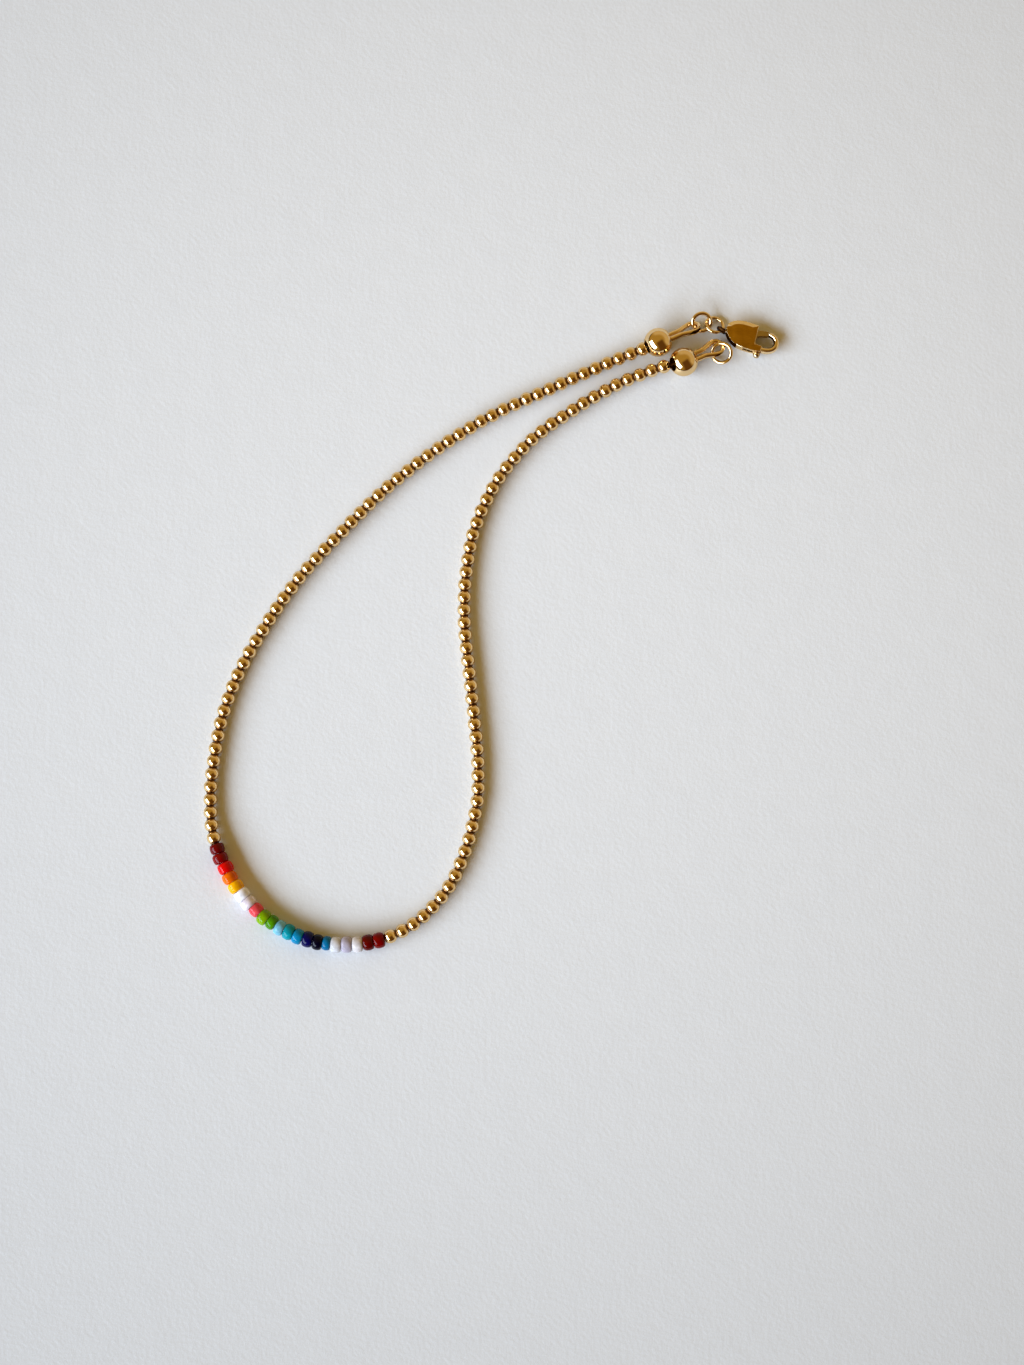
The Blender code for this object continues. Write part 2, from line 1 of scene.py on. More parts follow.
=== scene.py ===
# %% [markdown]
# # Dressing a beaded anklet
#
# The anklet is packed as a frame of plain, faceted solids at their real size. This lesson gives it
# its looks: round mirror-bright beads, glossy glass, a brushed clasp, and a quiet studio round it.
# Each solid either keeps its shape and gets a better finish, or is hidden and a finer piece stands
# for it in the same place.
#
# We work in millimetres, because that is how a jeweller measures, and bring each piece to metres
# once, when it is put in place.

# %% Load the frame
import json
import math
import random

import bmesh
import bpy
from mathutils import Matrix, Vector

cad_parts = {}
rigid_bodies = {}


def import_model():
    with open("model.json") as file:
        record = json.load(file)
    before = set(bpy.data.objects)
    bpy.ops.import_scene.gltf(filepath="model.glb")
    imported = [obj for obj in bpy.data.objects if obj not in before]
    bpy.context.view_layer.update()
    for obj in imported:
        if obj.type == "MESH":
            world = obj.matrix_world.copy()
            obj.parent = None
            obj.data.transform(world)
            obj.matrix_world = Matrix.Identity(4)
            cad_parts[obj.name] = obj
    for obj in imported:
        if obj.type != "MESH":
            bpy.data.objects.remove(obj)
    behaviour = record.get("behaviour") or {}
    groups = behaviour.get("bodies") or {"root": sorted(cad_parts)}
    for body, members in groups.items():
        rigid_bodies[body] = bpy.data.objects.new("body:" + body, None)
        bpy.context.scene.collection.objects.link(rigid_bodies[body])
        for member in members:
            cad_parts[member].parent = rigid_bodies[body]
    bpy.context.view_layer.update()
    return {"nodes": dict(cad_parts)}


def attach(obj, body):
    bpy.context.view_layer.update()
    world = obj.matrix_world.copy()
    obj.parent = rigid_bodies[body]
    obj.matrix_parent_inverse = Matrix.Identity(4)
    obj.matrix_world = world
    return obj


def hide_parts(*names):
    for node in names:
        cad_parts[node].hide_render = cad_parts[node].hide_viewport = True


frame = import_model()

print("nodes:", len(frame["nodes"]))

# %% [markdown]
# ## Where things are
#
# The drawing of the anklet was made round a point of its own, and the frame has its origin under the
# middle of the whole piece. One short vector takes us from the one to the other.

# %% From the drawing in millimetres to the frame in metres
MM = 0.001
DRAWING_MIDDLE = Vector((-0.458, 0.595, 0.0))
TO_FRAME = Matrix.Scale(MM, 4) @ Matrix.Translation(-DRAWING_MIDDLE)
print("the drawing's zero lies at", [round(value * 1000, 3) for value in TO_FRAME.translation], "mm")

# %% [markdown]
# ## The camera
#
# The anklet was photographed from almost straight above, with a long-ish lens, so that the far beads
# are hardly smaller than the near ones. The camera looks at one point on the table. Its height,
# its lean and its lens are all that decide the framing.

# %% Place the camera
LOOK_AT = Vector((2.587, -7.595, 0.0)) * MM
CAMERA_DISTANCE = 328.6 * MM
CAMERA_LEAN = math.radians(6.0)          # away from straight down
LENS = 60.66
SENSOR = 36.0

camera_data = bpy.data.cameras.new("studio_camera")
camera_data.lens = LENS
camera_data.sensor_width = SENSOR
camera_data.clip_start = 0.01
camera_data.clip_end = 20.0
camera = bpy.data.objects.new("studio_camera", camera_data)
bpy.context.scene.collection.objects.link(camera)
towards_camera = Vector((0.0, -math.sin(CAMERA_LEAN), math.cos(CAMERA_LEAN)))
camera.location = LOOK_AT + towards_camera * CAMERA_DISTANCE
camera.rotation_euler = (CAMERA_LEAN, 0.0, 0.0)
bpy.context.scene.camera = camera
print("camera height above the table:", round(camera.location.z * 1000, 1), "mm")

# %% [markdown]
# ## The light
#
# Gold shows its surroundings more than itself, so the room matters as much as the lamp. A real bead
# shows three things: a bright window, low on the left, as a white fleck; the pale paper in a ring
# round its lower edge; and a dim warm room in the middle. We build just those three.
#
# The window is one large area light. Its height decides the shadow: its upper edge sets how wide the
# full shadow beside the strand is, and the light from its lower edge gives that shadow a long, soft
# border. It is cool and the room is warm, so that paper in full light is neutral while the shadows
# turn brown, as they do next to gold.

# %% The window
WINDOW_AZIMUTH = math.radians(212.0)
WINDOW_LOW = math.radians(15.0)          # elevations of its lower and upper edge
WINDOW_HIGH = math.radians(43.0)
WINDOW_DISTANCE = 2.5
WINDOW_WIDTH = 3.3
WINDOW_POWER = 155.0
WINDOW_COLOUR = (0.655, 0.800, 1.0)


def direction_of(azimuth, elevation):
    """A unit vector from the table towards a place in the room."""
    flat = math.cos(elevation)
    return Vector((math.cos(azimuth) * flat, math.sin(azimuth) * flat, math.sin(elevation)))


window_data = bpy.data.lights.new("window", 'AREA')
window_data.shape = 'RECTANGLE'
window_data.size = WINDOW_WIDTH
window_data.size_y = 2 * WINDOW_DISTANCE * math.tan((WINDOW_HIGH - WINDOW_LOW) / 2)
window_data.energy = WINDOW_POWER
window_data.color = WINDOW_COLOUR
window = bpy.data.objects.new("window", window_data)
bpy.context.scene.collection.objects.link(window)
towards_window = direction_of(WINDOW_AZIMUTH, (WINDOW_LOW + WINDOW_HIGH) / 2)
window.location = towards_window * WINDOW_DISTANCE
window.rotation_euler = towards_window.to_track_quat('Z', 'Y').to_euler()
print("window centre:", [round(value, 2) for value in window.location], "m")

# %% [markdown]
# The room is the world's background. Its colour depends only on the direction we look in, never on
# where the camera stands: warm overhead, dark low down at the walls, pale half way up the wall that
# faces the window, and with one dark panel at the front right. Photographers call such a panel a
# flag. It gives each bead the brown shape in its middle that makes gold read as metal.

# %% The room
ROOM_OVERHEAD = (0.410, 0.262, 0.054, 1.0)
ROOM_WALLS = (0.040, 0.024, 0.010, 1.0)
FACING_WALL = (0.600, 0.460, 0.230, 1.0)
FLAG_COLOUR = (0.120, 0.052, 0.010, 1.0)
BACKDROP = (0.62, 0.62, 0.61, 1.0)
WALL_TOP = (0.03, 0.22)                  # heights on the unit sphere between which walls give way
FACING_AZIMUTH = math.radians(52.0)
FACING_EDGE = (0.10, 0.50)               # how far towards its azimuth it begins and is full
FACING_TOP = (0.80, 0.45)                # heights above which it is gone and below which it is full
FLAG_AZIMUTH = math.radians(-56.0)
FLAG_SIDES = (0.70, 0.30)                # how far to either side of its azimuth, outside and inside
FLAG_TOP = (-0.12, 0.28)                 # how far towards its azimuth it begins and is full


def map_range(nodes, links, value, low, high):
    """Ease a value from 0 at low to 1 at high."""
    ease = nodes.new("ShaderNodeMapRange")
    ease.interpolation_type = 'SMOOTHSTEP'
    first, second, start, end = (low, high, 0.0, 1.0) if low < high else (high, low, 1.0, 0.0)
    ease.inputs["From Min"].default_value = first
    ease.inputs["From Max"].default_value = second
    ease.inputs["To Min"].default_value = start
    ease.inputs["To Max"].default_value = end
    links.new(value, ease.inputs["Value"])
    return ease.outputs["Result"]


def mix_colours(nodes, links, part, first, second):
    """Blend two colours, each given as numbers or as another node's output."""
    mix = nodes.new("ShaderNodeMix")
    mix.data_type = 'RGBA'
    links.new(part, mix.inputs["Factor"])
    for socket, colour in (("A", first), ("B", second)):
        target = next(i for i in mix.inputs if i.name == socket and i.type == 'RGBA')
        if isinstance(colour, tuple):
            target.default_value = colour
        else:
            links.new(colour, target)
    return next(o for o in mix.outputs if o.type == 'RGBA')


def calculate(nodes, links, operation, first, second=None):
    """One Math node on outputs or numbers."""
    sum_node = nodes.new("ShaderNodeMath")
    sum_node.operation = operation
    for socket, value in zip(sum_node.inputs, (first, second)):
        if isinstance(value, (int, float)):
            socket.default_value = value
        elif value is not None:
            links.new(value, socket)
    return sum_node.outputs[0]


def towards(nodes, links, way, direction):
    """How far a direction of view points towards a given direction, from -1 to 1."""
    dot = nodes.new("ShaderNodeVectorMath")
    dot.operation = 'DOT_PRODUCT'
    dot.inputs[1].default_value = direction
    links.new(way, dot.inputs[0])
    return dot.outputs["Value"]


room = bpy.data.worlds.new("room")
room.use_nodes = True
bpy.context.scene.world = room
nodes, links = room.node_tree.nodes, room.node_tree.links
nodes.clear()
way = nodes.new("ShaderNodeTexCoord").outputs["Generated"]
height = towards(nodes, links, way, (0.0, 0.0, 1.0))
walls = mix_colours(nodes, links, map_range(nodes, links, height, *WALL_TOP), ROOM_WALLS, ROOM_OVERHEAD)
facing = towards(nodes, links, way, direction_of(FACING_AZIMUTH, 0.0))
opposite = calculate(nodes, links, 'MULTIPLY', map_range(nodes, links, facing, *FACING_EDGE),
                     map_range(nodes, links, height, *FACING_TOP))
lit = mix_colours(nodes, links, opposite, walls, FACING_WALL)
ahead = towards(nodes, links, way, direction_of(FLAG_AZIMUTH, 0.0))
beside = calculate(nodes, links, 'ABSOLUTE',
                   towards(nodes, links, way, direction_of(FLAG_AZIMUTH + math.pi / 2, 0.0)))
flag = calculate(nodes, links, 'MULTIPLY', map_range(nodes, links, ahead, *FLAG_TOP),
                 map_range(nodes, links, beside, *FLAG_SIDES))
flagged = mix_colours(nodes, links, flag, lit, FLAG_COLOUR)
seen = nodes.new("ShaderNodeLightPath").outputs["Is Camera Ray"]
shown = mix_colours(nodes, links, seen, flagged, BACKDROP)
background = nodes.new("ShaderNodeBackground")
links.new(shown, background.inputs["Color"])
links.new(background.outputs[0], nodes.new("ShaderNodeOutputWorld").inputs["Surface"])
bpy.context.scene.view_settings.view_transform = 'Standard'
print("room nodes:", len(nodes))

# %% [markdown]
# ## Finishes
#
# A finish is a Principled shader with a few nodes in front of it. Real metal is never one flat
# colour: it has faint clouds where it was handled, hairline scratches that only show in the
# roughness, and a slight unevenness that breaks up a reflection. Noise textures in the object's own
# coordinates give all three, at sizes that we choose in millimetres.

# %% A small kit for finishes
def new_finish(name):
    """An empty Principled material, with its node tree."""
    material = bpy.data.materials.new(name)
    material.use_nodes = True
    return material, material.node_tree.nodes, material.node_tree.links


def cloud(nodes, links, grain_mm, detail=2.0, stretch=None):
    """Noise from 0 to 1 whose patches are about grain_mm wide, drawn out along an axis if wanted."""
    texture = nodes.new("ShaderNodeTexNoise")
    texture.inputs["Scale"].default_value = 1.0 / (grain_mm * MM)
    texture.inputs["Detail"].default_value = detail
    place = nodes.new("ShaderNodeMapping")
    links.new(nodes.new("ShaderNodeTexCoord").outputs["Object"], place.inputs["Vector"])
    if stretch is not None:
        place.inputs["Rotation"].default_value = (0.0, 0.0, stretch[0])
        place.inputs["Scale"].default_value = stretch[1]
    links.new(place.outputs["Vector"], texture.inputs["Vector"])
    return texture.outputs["Fac"]


def between(nodes, links, part, low, high):
    """A number that runs from low to high as part runs from 0.3 to 0.7, where noise lives."""
    spread = nodes.new("ShaderNodeMapRange")
    spread.inputs["From Min"].default_value = 0.3
    spread.inputs["From Max"].default_value = 0.7
    spread.inputs["To Min"].default_value = low
    spread.inputs["To Max"].default_value = high
    links.new(part, spread.inputs["Value"])
    return spread.outputs["Result"]


def roughen(nodes, links, height, depth_mm, strength=1.0):
    """Feed a height, in parts of depth_mm, to the shader as fine relief."""
    relief = nodes.new("ShaderNodeBump")
    relief.inputs["Strength"].default_value = strength
    relief.inputs["Distance"].default_value = depth_mm * MM
    links.new(height, relief.inputs["Height"])
    links.new(relief.outputs["Normal"], nodes["Principled BSDF"].inputs["Normal"])


print("finish kit ready")

# %% [markdown]
# ### Polished gold
#
# The beads, covers, rings and guards are gold-filled and polished. Gold's own colour tints what it
# mirrors, so the paper looks peach in it. Each bead carries a number of its own, its tone, which
# makes some beads a little redder than their neighbours. A second number says how near a point is
# to a bead's hole: there the colour is painted dark brown, as painted shade in the notches between
# beads, and the metal is made duller.

# %% Polished gold
GOLD_PALE = (0.880, 0.650, 0.360, 1.0)
GOLD_DEEP = (0.800, 0.550, 0.250, 1.0)
GOLD_AT_EDGE = (0.900, 0.780, 0.560, 1.0)    # where it curves away from us
NOTCH_SHADE = (0.115, 0.034, 0.004, 1.0)
TONE = "bead_tone"
NEAR_HOLE = "near_hole"
GOLD_PATCH_MM = 2.4
GOLD_PATCH_SHARE = 0.5                   # how much the patches count beside a bead's own tone
GOLD_WEAR_MM = 0.35
GOLD_ROUGHNESS = (0.03, 0.09)
HOLE_DULLNESS = 0.35                     # the roughness that is added at a hole


def polished_gold():
    material, nodes, links = new_finish("gold_polish")
    shader = nodes["Principled BSDF"]
    shader.inputs["Metallic"].default_value = 1.0
    tone = nodes.new("ShaderNodeAttribute")
    tone.attribute_name = TONE
    patches = calculate(nodes, links, 'MULTIPLY', cloud(nodes, links, GOLD_PATCH_MM), GOLD_PATCH_SHARE)
    patches = calculate(nodes, links, 'ADD', patches, tone.outputs["Fac"])
    colour = mix_colours(nodes, links, patches, GOLD_PALE, GOLD_DEEP)
    # Painted shade in the notches: near each bead's hole the colour goes dark brown.
    hole = nodes.new("ShaderNodeAttribute")
    hole.attribute_name = NEAR_HOLE
    colour = mix_colours(nodes, links, hole.outputs["Fac"], colour, NOTCH_SHADE)
    links.new(colour, shader.inputs["Base Color"])
    shader.inputs["Specular Tint"].default_value = GOLD_AT_EDGE
    wear = between(nodes, links, cloud(nodes, links, GOLD_WEAR_MM, detail=4.0), *GOLD_ROUGHNESS)
    dulled = calculate(nodes, links, 'MULTIPLY', hole.outputs["Fac"], HOLE_DULLNESS)
    links.new(calculate(nodes, links, 'ADD', wear, dulled), shader.inputs["Roughness"])
    roughen(nodes, links, cloud(nodes, links, grain_mm=0.25, detail=3.0), depth_mm=0.004, strength=0.5)
    return material


GOLD = polished_gold()
print("polished gold:", len(GOLD.node_tree.nodes), "nodes")

# %% [markdown]
# ### Brushed gold
#
# The clasp's plate was brushed along its length on a fine wheel. The lines are noise drawn out fifty
# times along the plate, used twice: as shallow relief, and as streaks of duller and brighter metal.
# The wheel can't reach the plate's sides and the hook, so those were buffed with a cloth instead,
# and shine more. Where shade falls, on the eye, on the flank beside it and inside the hook, the
# colour is painted near black as painted shade. Metal that we see at a slant mirrors almost like
# glass, so that painted shade needs a dark colour of its own for its edge too.

# %% Brushed gold
CLASP_HEADING = math.radians(-14.5)
BRUSHED_PALE = (0.640, 0.340, 0.026, 1.0)
BRUSHED_DEEP = (0.380, 0.175, 0.006, 1.0)
BRUSHED_ROUGHNESS = (0.27, 0.40)
BRUSH_LINE_MM = 0.05
BRUSH_STRETCH = (0.02, 1.0, 1.0)
BRUSHED_PATCH_MM = 1.1


def brushed_gold():
    material, nodes, links = new_finish("gold_brushed")
    shader = nodes["Principled BSDF"]
    shader.inputs["Metallic"].default_value = 1.0
    along = (-CLASP_HEADING, BRUSH_STRETCH)
    lines = cloud(nodes, links, BRUSH_LINE_MM, detail=3.0, stretch=along)
    patches = cloud(nodes, links, BRUSHED_PATCH_MM)
    pressed = calculate(nodes, links, 'ADD', calculate(nodes, links, 'MULTIPLY', lines, 0.5),
                        calculate(nodes, links, 'MULTIPLY', patches, 0.5))
    tone = between(nodes, links, pressed, 0.0, 1.0)
    links.new(mix_colours(nodes, links, tone, BRUSHED_PALE, BRUSHED_DEEP), shader.inputs["Base Color"])
    links.new(between(nodes, links, lines, *BRUSHED_ROUGHNESS), shader.inputs["Roughness"])
    roughen(nodes, links, lines, depth_mm=0.010, strength=0.8)
    return material


BRUSHED_GOLD = brushed_gold()
print("brushed gold:", len(BRUSHED_GOLD.node_tree.nodes), "nodes")

# %% Buffed gold and painted shade
BUFFED_PALE = (0.960, 0.760, 0.480, 1.0)
BUFFED_DEEP = (0.860, 0.620, 0.320, 1.0)
BUFFED_PATCH_MM = 0.8
BUFFED_ROUGHNESS = (0.08, 0.16)
# Painted shade: a near-black gold for places where shade falls, dark at its edge too.
SHADE_COLOUR = (0.050, 0.018, 0.004, 1.0)
SHADE_AT_EDGE = (0.120, 0.060, 0.022, 1.0)
SHADE_PALER = 1.6                         # how much brighter the paler grains of the painted shade are
SHADE_GRAIN_MM = 0.1
SHADE_ROUGHNESS = (0.35, 0.55)
SHADE_ATTRIBUTE = "painted_shade"


def buffed_gold():
    """The same metal where the wheel turned to cloth: on the clasp's sides and its hook."""
    material, nodes, links = new_finish("gold_buffed")
    shader = nodes["Principled BSDF"]
    shader.inputs["Metallic"].default_value = 1.0
    shader.inputs["Specular Tint"].default_value = GOLD_AT_EDGE
    tone = between(nodes, links, cloud(nodes, links, BUFFED_PATCH_MM, detail=3.0), 0.0, 1.0)
    colour = mix_colours(nodes, links, tone, BUFFED_PALE, BUFFED_DEEP)
    # Painted shade: the colour goes towards the shade colour as the attribute says.
    shade_share = nodes.new("ShaderNodeAttribute")
    shade_share.attribute_name = SHADE_ATTRIBUTE
    colour = mix_colours(nodes, links, shade_share.outputs["Fac"], colour, SHADE_COLOUR)
    links.new(colour, shader.inputs["Base Color"])
    wear = cloud(nodes, links, grain_mm=0.2, detail=3.0)
    links.new(between(nodes, links, wear, *BUFFED_ROUGHNESS), shader.inputs["Roughness"])
    roughen(nodes, links, cloud(nodes, links, grain_mm=0.15), depth_mm=0.004, strength=0.5)
    return material


def painted_shade():
    """Painted shade: near-black gold for places where shade falls, such as the inside of a cover."""
    material, nodes, links = new_finish("gold_painted_shade")
    shader = nodes["Principled BSDF"]
    shader.inputs["Metallic"].default_value = 1.0
    shader.inputs["Specular Tint"].default_value = SHADE_AT_EDGE
    grain = cloud(nodes, links, SHADE_GRAIN_MM, detail=3.0)
    paler = tuple(part * SHADE_PALER for part in SHADE_COLOUR[:3]) + (1.0,)
    links.new(mix_colours(nodes, links, grain, SHADE_COLOUR, paler), shader.inputs["Base Color"])
    links.new(between(nodes, links, grain, *SHADE_ROUGHNESS), shader.inputs["Roughness"])
    roughen(nodes, links, grain, depth_mm=0.01, strength=0.6)
    return material


BUFFED_GOLD = buffed_gold()
PAINTED_SHADE = painted_shade()
print("buffed gold:", len(BUFFED_GOLD.node_tree.nodes), "nodes; cast skin:",
      len(PAINTED_SHADE.node_tree.nodes), "nodes")

# %% [markdown]
# ### Glass and coated wire
#
# The glass beads are cut from drawn rods of opaque glass and tumbled hot until their edges melt
# round. The colour goes all the way through, with faint streaks from the rod, and the fired skin is
# as smooth as a glaze, which the thin coat layer stands for. The glass itself mirrors little, so
# that the dark beads stay dark and saturated under a bright window. The wire is a bundle of fine
# steel strands in a clear nylon coat, so it looks like grey plastic with a twist in it.

# %% Glass and wire
STREAK_MM = 0.7
STREAK_PALER = 1.18
STREAK_DARKER = 0.80
GLASS_ROUGHNESS = (0.04, 0.10)
WIRE_DARK = (0.30, 0.27, 0.23, 1.0)
WIRE_PALE = (0.52, 0.49, 0.44, 1.0)
WIRE_ROUGHNESS = (0.25, 0.45)


def glass(name, colour):
    """Opaque glass in one linear colour, with the rod's faint streaks and a fired skin."""
    material, nodes, links = new_finish(name)
    shader = nodes["Principled BSDF"]
    lighter = tuple(min(part * STREAK_PALER, 1.0) for part in colour) + (1.0,)
    darker = tuple(part * STREAK_DARKER for part in colour) + (1.0,)
    streaks = between(nodes, links, cloud(nodes, links, STREAK_MM, detail=3.0), 0.0, 1.0)
    links.new(mix_colours(nodes, links, streaks, darker, lighter), shader.inputs["Base Color"])
    gloss = cloud(nodes, links, grain_mm=0.3)
    links.new(between(nodes, links, gloss, *GLASS_ROUGHNESS), shader.inputs["Roughness"])
    shader.inputs["Specular IOR Level"].default_value = 0.10
    shader.inputs["Coat Weight"].default_value = 0.12
    shader.inputs["Coat Roughness"].default_value = 0.04
    roughen(nodes, links, cloud(nodes, links, grain_mm=0.5), depth_mm=0.008, strength=0.5)
    return material


def coated_wire():
    material, nodes, links = new_finish("wire_coat")
    shader = nodes["Principled BSDF"]
    shader.inputs["Metallic"].default_value = 0.6
    strands = cloud(nodes, links, grain_mm=0.08)
    links.new(mix_colours(nodes, links, strands, WIRE_DARK, WIRE_PALE), shader.inputs["Base Color"])
    links.new(between(nodes, links, strands, *WIRE_ROUGHNESS), shader.inputs["Roughness"])
    roughen(nodes, links, strands, depth_mm=0.01, strength=0.6)
    return material


WIRE_COAT = coated_wire()
print("wire coat:", len(WIRE_COAT.node_tree.nodes), "nodes")

# %% [markdown]
# ## The paper
#
# The anklet lies on white drawing paper. Its tooth, the fine pimpled grain, shows because the light
# comes in so low. Two noises make it: small pimples, and broad soft waves from the felt that the
# sheet dried on. Its colour is also painted darker away from its middle, as a painted falloff of
# the window's light across the table.

# %% Lay the paper
PAPER_HALF_WIDTH = 3.0
PAPER_PALE = (0.810, 0.810, 0.805, 1.0)
PAPER_DIM = (0.770, 0.775, 0.775, 1.0)
PAINTED_FALLOFF_AT_EDGE = 0.54                        # painted falloff of the window's light: how much colour is left far from the middle
PAINTED_LIGHT_MIDDLE = Vector((5.0, 17.5, 0.0)) * MM
PAINTED_FALLOFF_REACH = (0.0, 287.0)          # mm from the middle between which the painted falloff runs
PAPER_ROUGHNESS = 0.5
PAPER_TOOTH_MM = 0.60
PAPER_WAVE_MM = 3.5
PAPER_DEPTH_MM = 0.05
PAPER_UNDER = 0.02 * MM                  # a hair below the lowest bead


def paper():
    material, nodes, links = new_finish("paper")
    shader = nodes["Principled BSDF"]
    shader.inputs["Roughness"].default_value = PAPER_ROUGHNESS
    fibre = cloud(nodes, links, PAPER_WAVE_MM, detail=6.0)
    tone = mix_colours(nodes, links, fibre, PAPER_PALE, PAPER_DIM)
    # Painted falloff of the window's light: the colour darkens away from the middle.
    from_middle = nodes.new("ShaderNodeVectorMath")
    from_middle.operation = 'DISTANCE'
    links.new(nodes.new("ShaderNodeTexCoord").outputs["Object"], from_middle.inputs[0])
    from_middle.inputs[1].default_value = PAINTED_LIGHT_MIDDLE
    low, high = PAINTED_FALLOFF_REACH
    fall = map_range(nodes, links, from_middle.outputs["Value"], low * MM, high * MM)
    edge = tuple(part * PAINTED_FALLOFF_AT_EDGE for part in PAPER_DIM[:3]) + (1.0,)
    links.new(mix_colours(nodes, links, fall, tone, edge), shader.inputs["Base Color"])
    tooth = calculate(nodes, links, 'ADD', cloud(nodes, links, PAPER_TOOTH_MM, detail=3.0),
                      cloud(nodes, links, PAPER_WAVE_MM))
    roughen(nodes, links, tooth, PAPER_DEPTH_MM, strength=0.7)
    return material


form = bmesh.new()
bmesh.ops.create_grid(form, x_segments=2, y_segments=2, size=PAPER_HALF_WIDTH)
sheet_mesh = bpy.data.meshes.new("paper_sheet")
form.to_mesh(sheet_mesh)
form.free()
sheet_mesh.materials.append(paper())
paper_sheet = bpy.data.objects.new("paper_sheet", sheet_mesh)
bpy.context.scene.collection.objects.link(paper_sheet)
paper_sheet.location.z = -PAPER_UNDER
print("paper:", PAPER_HALF_WIDTH * 2, "m across")

# %% [markdown]
# ## The wire's route
#
# Everything is strung on one wire, so its middle line places every bead. In plan it is the curve of
# the anklet as it lies, from the clasp's cover round to the ring's cover. A centripetal Catmull-Rom
# curve passes through each point without loops or overshoots. The wire also has a height: the
# small beads hold it low, and it climbs to the glass beads and to the middle of each large cover.

# %% Points that the wire passes through
ROUTE = [
    (23.24, 42.11), (21.05, 41.20), (15.8, 39.2), (7.3, 35.4), (-1.0, 31.5), (-8.8, 26.6),
    (-16.1, 20.8), (-22.5, 14.4), (-28.6, 7.6), (-33.6, 0.2), (-37.2, -6.6), (-39.3, -13.0),
    (-40.4, -20.0), (-40.6, -24.5), (-40.15, -28.7), (-39.0, -32.1), (-37.0, -35.8),
    (-34.25, -39.1), (-30.75, -41.7), (-26.9, -43.4), (-22.6, -44.2), (-18.6, -44.0),
    (-15.4, -43.2), (-12.2, -41.6), (-9.1, -39.0), (-6.4, -35.5), (-4.8, -31.9), (-3.6, -28.0),
    (-2.8, -24.0), (-2.7, -19.0), (-3.3, -11.8), (-4.0, -5.6), (-4.6, 0.6), (-4.7, 5.0),
    (-4.3, 9.8), (-3.3, 14.8), (-0.4, 21.4), (4.4, 27.5), (10.6, 32.2), (18.7, 36.8),
    (24.0, 38.6), (26.87, 39.24),
]
print("route points:", len(ROUTE))

# %% A smooth curve through points
def smooth_step(part):
    """Ease from 0 to 1 as part does, with level ends."""
    part = min(max(part, 0.0), 1.0)
    return part * part * (3 - 2 * part)


def eased(value, start, width):
    """0 below start, 1 above start + width, and smooth between."""
    return smooth_step((value - start) / width)


def curve_through(points, steps=16):
    """A centripetal Catmull-Rom curve through the given points."""
    line = [points[0] * 2 - points[1]] + points + [points[-1] * 2 - points[-2]]
    curve = []
    for p0, p1, p2, p3 in zip(line, line[1:], line[2:], line[3:]):
        t1 = (p1 - p0).length ** 0.5
        t2 = t1 + (p2 - p1).length ** 0.5
        t3 = t2 + (p3 - p2).length ** 0.5
        for step in range(steps):
            t = t1 + (t2 - t1) * step / steps
            a1 = p0.lerp(p1, t / t1)
            a2 = p1.lerp(p2, (t - t1) / (t2 - t1))
            a3 = p2.lerp(p3, (t - t2) / (t3 - t2))
            b1 = a1.lerp(a2, t / t2)
            b2 = a2.lerp(a3, (t - t1) / (t3 - t1))
            curve.append(b1.lerp(b2, (t - t1) / (t2 - t1)))
    curve.append(points[-1].copy())
    return curve


class Line:
    """A curve that can be asked for the point or the direction at a distance along it."""

    def __init__(self, points):
        self.points = points
        self.reached = [0.0]
        for start, end in zip(points, points[1:]):
            self.reached.append(self.reached[-1] + (end - start).length)
        self.length = self.reached[-1]

    def at(self, distance):
        index = 1
        while index < len(self.points) - 1 and self.reached[index] < distance:
            index += 1
        start, end = self.reached[index - 1], self.reached[index]
        return self.points[index - 1].lerp(self.points[index], (distance - start) / (end - start))

    def direction(self, distance, reach=0.4):
        low = max(distance - reach, 0.0)
        high = min(distance + reach, self.length)
        return (self.at(high) - self.at(low)).normalized()


plan = Line(curve_through([Vector((x, y, 0.0)) for x, y in ROUTE]))
print("wire between the covers:", round(plan.length, 1), "mm")

# %% [markdown]
# The glass beads are listed in the order that they are strung: the name of the node, the
# glass colour in linear light, the diameter, the length along the wire, and how far the bead
# wandered to the left of the wire. No two are alike, which is the charm of seed beads.

# %% Sizes of the beads
GOLD_BEAD_DIAMETER = 1.95
GOLD_BEADS_A_SIDE = 56
BEAD_LENGTH = 1.825                      # on average; the wire's own length decides exactly
COVER_TO_BEAD_CLASP_END = 2.46
COVER_TO_BEAD_RING_END = 2.95
COVER_RADIUS = 2.06
RISE_AT_COVERS = 9.0
RISE_AT_SEEDS = 5.5

